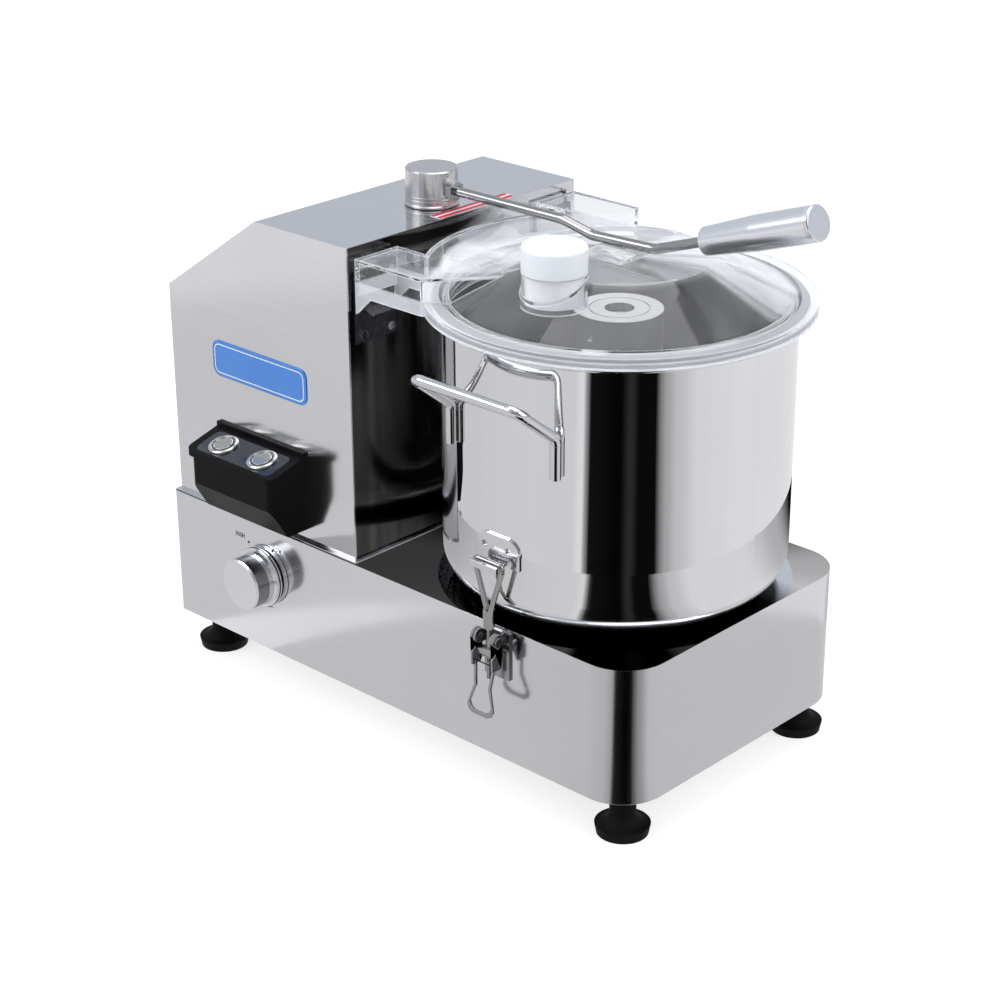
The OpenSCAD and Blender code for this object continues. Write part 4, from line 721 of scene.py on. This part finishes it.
# Camera at the photograph's angle.
AZ, EL, ROLL = math.radians(43.275), math.radians(23.767), math.radians(-0.239)
EYE = Vector((1.2236 + MID_X, -1.2983, 0.9584))
LENS, SENSOR = 83.84, 36
back = Vector((math.sin(AZ) * math.cos(EL), -math.cos(AZ) * math.cos(EL), math.sin(EL)))
level = Vector((math.cos(AZ), math.sin(AZ), 0))
upright = back.cross(level)
c, s = math.cos(ROLL), math.sin(ROLL)
cam = scene_object("camera", bpy.data.cameras.new("camera"))
cam.matrix_world = place(EYE, level * c + upright * s, upright * c - level * s, back)
cam.data.lens, cam.data.sensor_width = LENS, SENSOR
cam.data.clip_start, cam.data.clip_end = 0.05, 50
bpy.context.scene.camera = cam

# Stage: a white floor that keeps a soft shadow, lamps, and cards that only reflections see.
WHITE_LIGHT = (1.0, 1.0, 1.0)
FLOOR_HALF = 9.0
m, nt = tree("studio_floor")
b = add(nt, "ShaderNodeBsdfPrincipled", Roughness=0.9)
patches = remap(nt, noise(nt, coords(nt), 2.0), 0.0, 1.0)
link(nt, mix_colour(nt, patches, (0.86, 0.86, 0.865), (0.88, 0.88, 0.88)), b.inputs["Base Color"])
# What the camera and the lid see: a dimmed floor with its shadow, lifted to white.
dimmed = mix_shader(nt, 0.45, shader(nt, "ShaderNodeEmission", WHITE_LIGHT, 0.0), b.outputs[0])
lit = nt.nodes.new("ShaderNodeAddShader")
link(nt, dimmed, lit.inputs[0])
link(nt, shader(nt, "ShaderNodeEmission", WHITE_LIGHT, 0.72), lit.inputs[1])
seen = mix_shader(nt, larger(nt, ray(nt, "Is Camera Ray"), ray(nt, "Is Transmission Ray")), b.outputs[0],
                  lit.outputs[0])
# What metal mirrors: a floor that dims from the left towards the bowl, bright beyond it and in front.
here = place_of(nt)
fall = remap(nt, here["X"], 1.0, 0.56, -0.28, 0.2)
away = larger(nt, remap(nt, here["X"], 0.0, 1.0, 0.2, 0.3), remap(nt, here["Y"], 1.0, 0.0, -0.62, -0.42))
close = times(nt, math_node(nt, "SUBTRACT", 1.0, away), fall)
grey = shader(nt, "ShaderNodeEmission", (0.985, 0.98, 1.0), plus(nt, times(nt, away, 0.9), close))
surface(nt, mix_shader(nt, ray(nt, "Is Glossy Ray"), seen, grey))
bm = bmesh.new()
bmesh.ops.create_grid(bm, x_segments=4, y_segments=4, size=FLOOR_HALF)
floor = mesh_object("studio_floor", bm, m)


def glossy_only(name, bm, mat):
    """Card of the stage that only glossy rays see."""
    o = mesh_object(name, bm, mat)
    o.visible_camera = o.visible_diffuse = o.visible_shadow = o.visible_transmission = False
    return o


def ring_card(name, x, y, z, r0, r1, stops):
    """Flat ring whose brightness runs round it, from stops of (degrees from the camera, brightness)."""
    m, nt = tree(name)
    here = place_of(nt)
    turn = math_node(nt, "ARCTAN2", here["Y"], here["X"])
    light = [(deg, shade ** 2.2) for deg, shade in stops]
    colour = round_ramp(nt, turn, light, tint=(0.985, 0.985, 1.0), blend="EASE")
    surface(nt, shader(nt, "ShaderNodeEmission", colour))
    bm = bmesh.new()
    inner, outer = ([bm.verts.new(polar(r, d) + (0,)) for d in range(0, 360, 3)] for r in (r0, r1))
    for i in range(len(inner)):
        j = (i + 1) % len(inner)
        bm.faces.new((inner[i], outer[i], outer[j], inner[j]))
    o = glossy_only(name, bm, m)
    o.location = (x, y, z)
    o.rotation_euler = (0, 0, math.atan2(EYE.y - y, EYE.x - x))


ring_card("bowl_card", BOWL_X, 0, 0.001, 0.44, 1.35, [
    (-180, 0.7), (-120, 0.86), (-60, 0.88), (-26, 0.88), (-20, 0.95), (-17.5, 0.55), (-15.5, 0.1), (2, 0.06),
    (8, 0.2), (13, 0.08), (23, 0.08), (25, 0.52), (29, 0.7), (36, 0.82), (50, 0.92), (75, 0.95), (150, 0.95)])
ring_card("deck_card", BOWL_X, 0, DECK_Z + 0.0006, 0.1425, 0.262, [
    (-180, 0.03), (-125, 0.05), (-100, 0.7), (-58, 0.84), (-18, 0.88), (-14, 0.92), (-12, 0.5), (-11, 0.1),
    (2, 0.06), (6, 0.2), (9, 0.08), (16, 0.08), (18, 0.52), (21, 0.7), (26, 0.82), (36, 0.92), (66, 0.92),
    (96, 0.74), (125, 0.05), (179, 0.03)])
ring_card("corner_card", BASE_HI.x - 0.038, BASE_LO.y + 0.038, 0.0015, 0.075, 0.42, [
    (-180, 0.84), (-100, 0.84), (-40, 0.78), (-24, 0.7), (-16, 0.12), (8, 0.03), (18, 0.1), (24, 0.42),
    (34, 0.62), (60, 0.82), (179, 0.86)])

# A dim curved wall behind the camera.
WALL_R, WALL_FOOT, WALL_TOP, WALL_VALUE = 2.5, 0.42, 2.9, 0.3
m, nt = tree("dark_wall")
surface(nt, shader(nt, "ShaderNodeEmission", (WALL_VALUE, WALL_VALUE, WALL_VALUE * 1.02)))
wall_az = math.degrees(math.atan2(EYE.y, EYE.x))
wall = [polar(WALL_R, wall_az + d) for d in range(-34, 35, 4)]
bm = bmesh.new()
bm.faces.new([bm.verts.new(p + (WALL_FOOT,)) for p in wall]
             + [bm.verts.new(p + (WALL_TOP,)) for p in reversed(wall)])
glossy_only("dark_wall", bm, m)

# The room: white to the camera and through the lid, pale blue to all else.
world = bpy.data.worlds.new("studio")
bpy.context.scene.world = world
world.use_nodes = True
nt = world.node_tree
nt.nodes.clear()
room = shader(nt, "ShaderNodeBackground", (0.84, 0.89, 0.97), 0.74)
white = shader(nt, "ShaderNodeBackground", WHITE_LIGHT, 1.0)
seen = larger(nt, ray(nt, "Is Camera Ray"), ray(nt, "Is Transmission Ray"))
link(nt, mix_shader(nt, seen, room, white), nt.nodes.new("ShaderNodeOutputWorld").inputs[0])

# Square lamps that point at the middle of the machine: name, place, side and power.
AIM = Vector((0.0, 0.0, 0.2))
for name, at, size, power in (("key", (-1.2, -1.8, 2.0), 1.6, 30),
                              ("fill", (2.0, 0.6, 1.8), 1.6, 22),
                              ("top", (0.0, 0.3, 2.6), 2.2, 26)):
    lamp = bpy.data.lights.new(name, "AREA")
    lamp.shape, lamp.size, lamp.size_y, lamp.energy = "RECTANGLE", size, size, power
    o = scene_object(name, lamp)
    o.location = at
    o.rotation_euler = (AIM - Vector(at)).to_track_quat("-Z", "Y").to_euler()

scene = bpy.context.scene
scene.cycles.max_bounces = 24
scene.cycles.transmission_bounces = 24
scene.cycles.transparent_max_bounces = 24
scene.cycles.glossy_bounces = 10
scene.view_settings.view_transform = "Standard"
scene.view_settings.look = "None"
scene.render.film_transparent = False
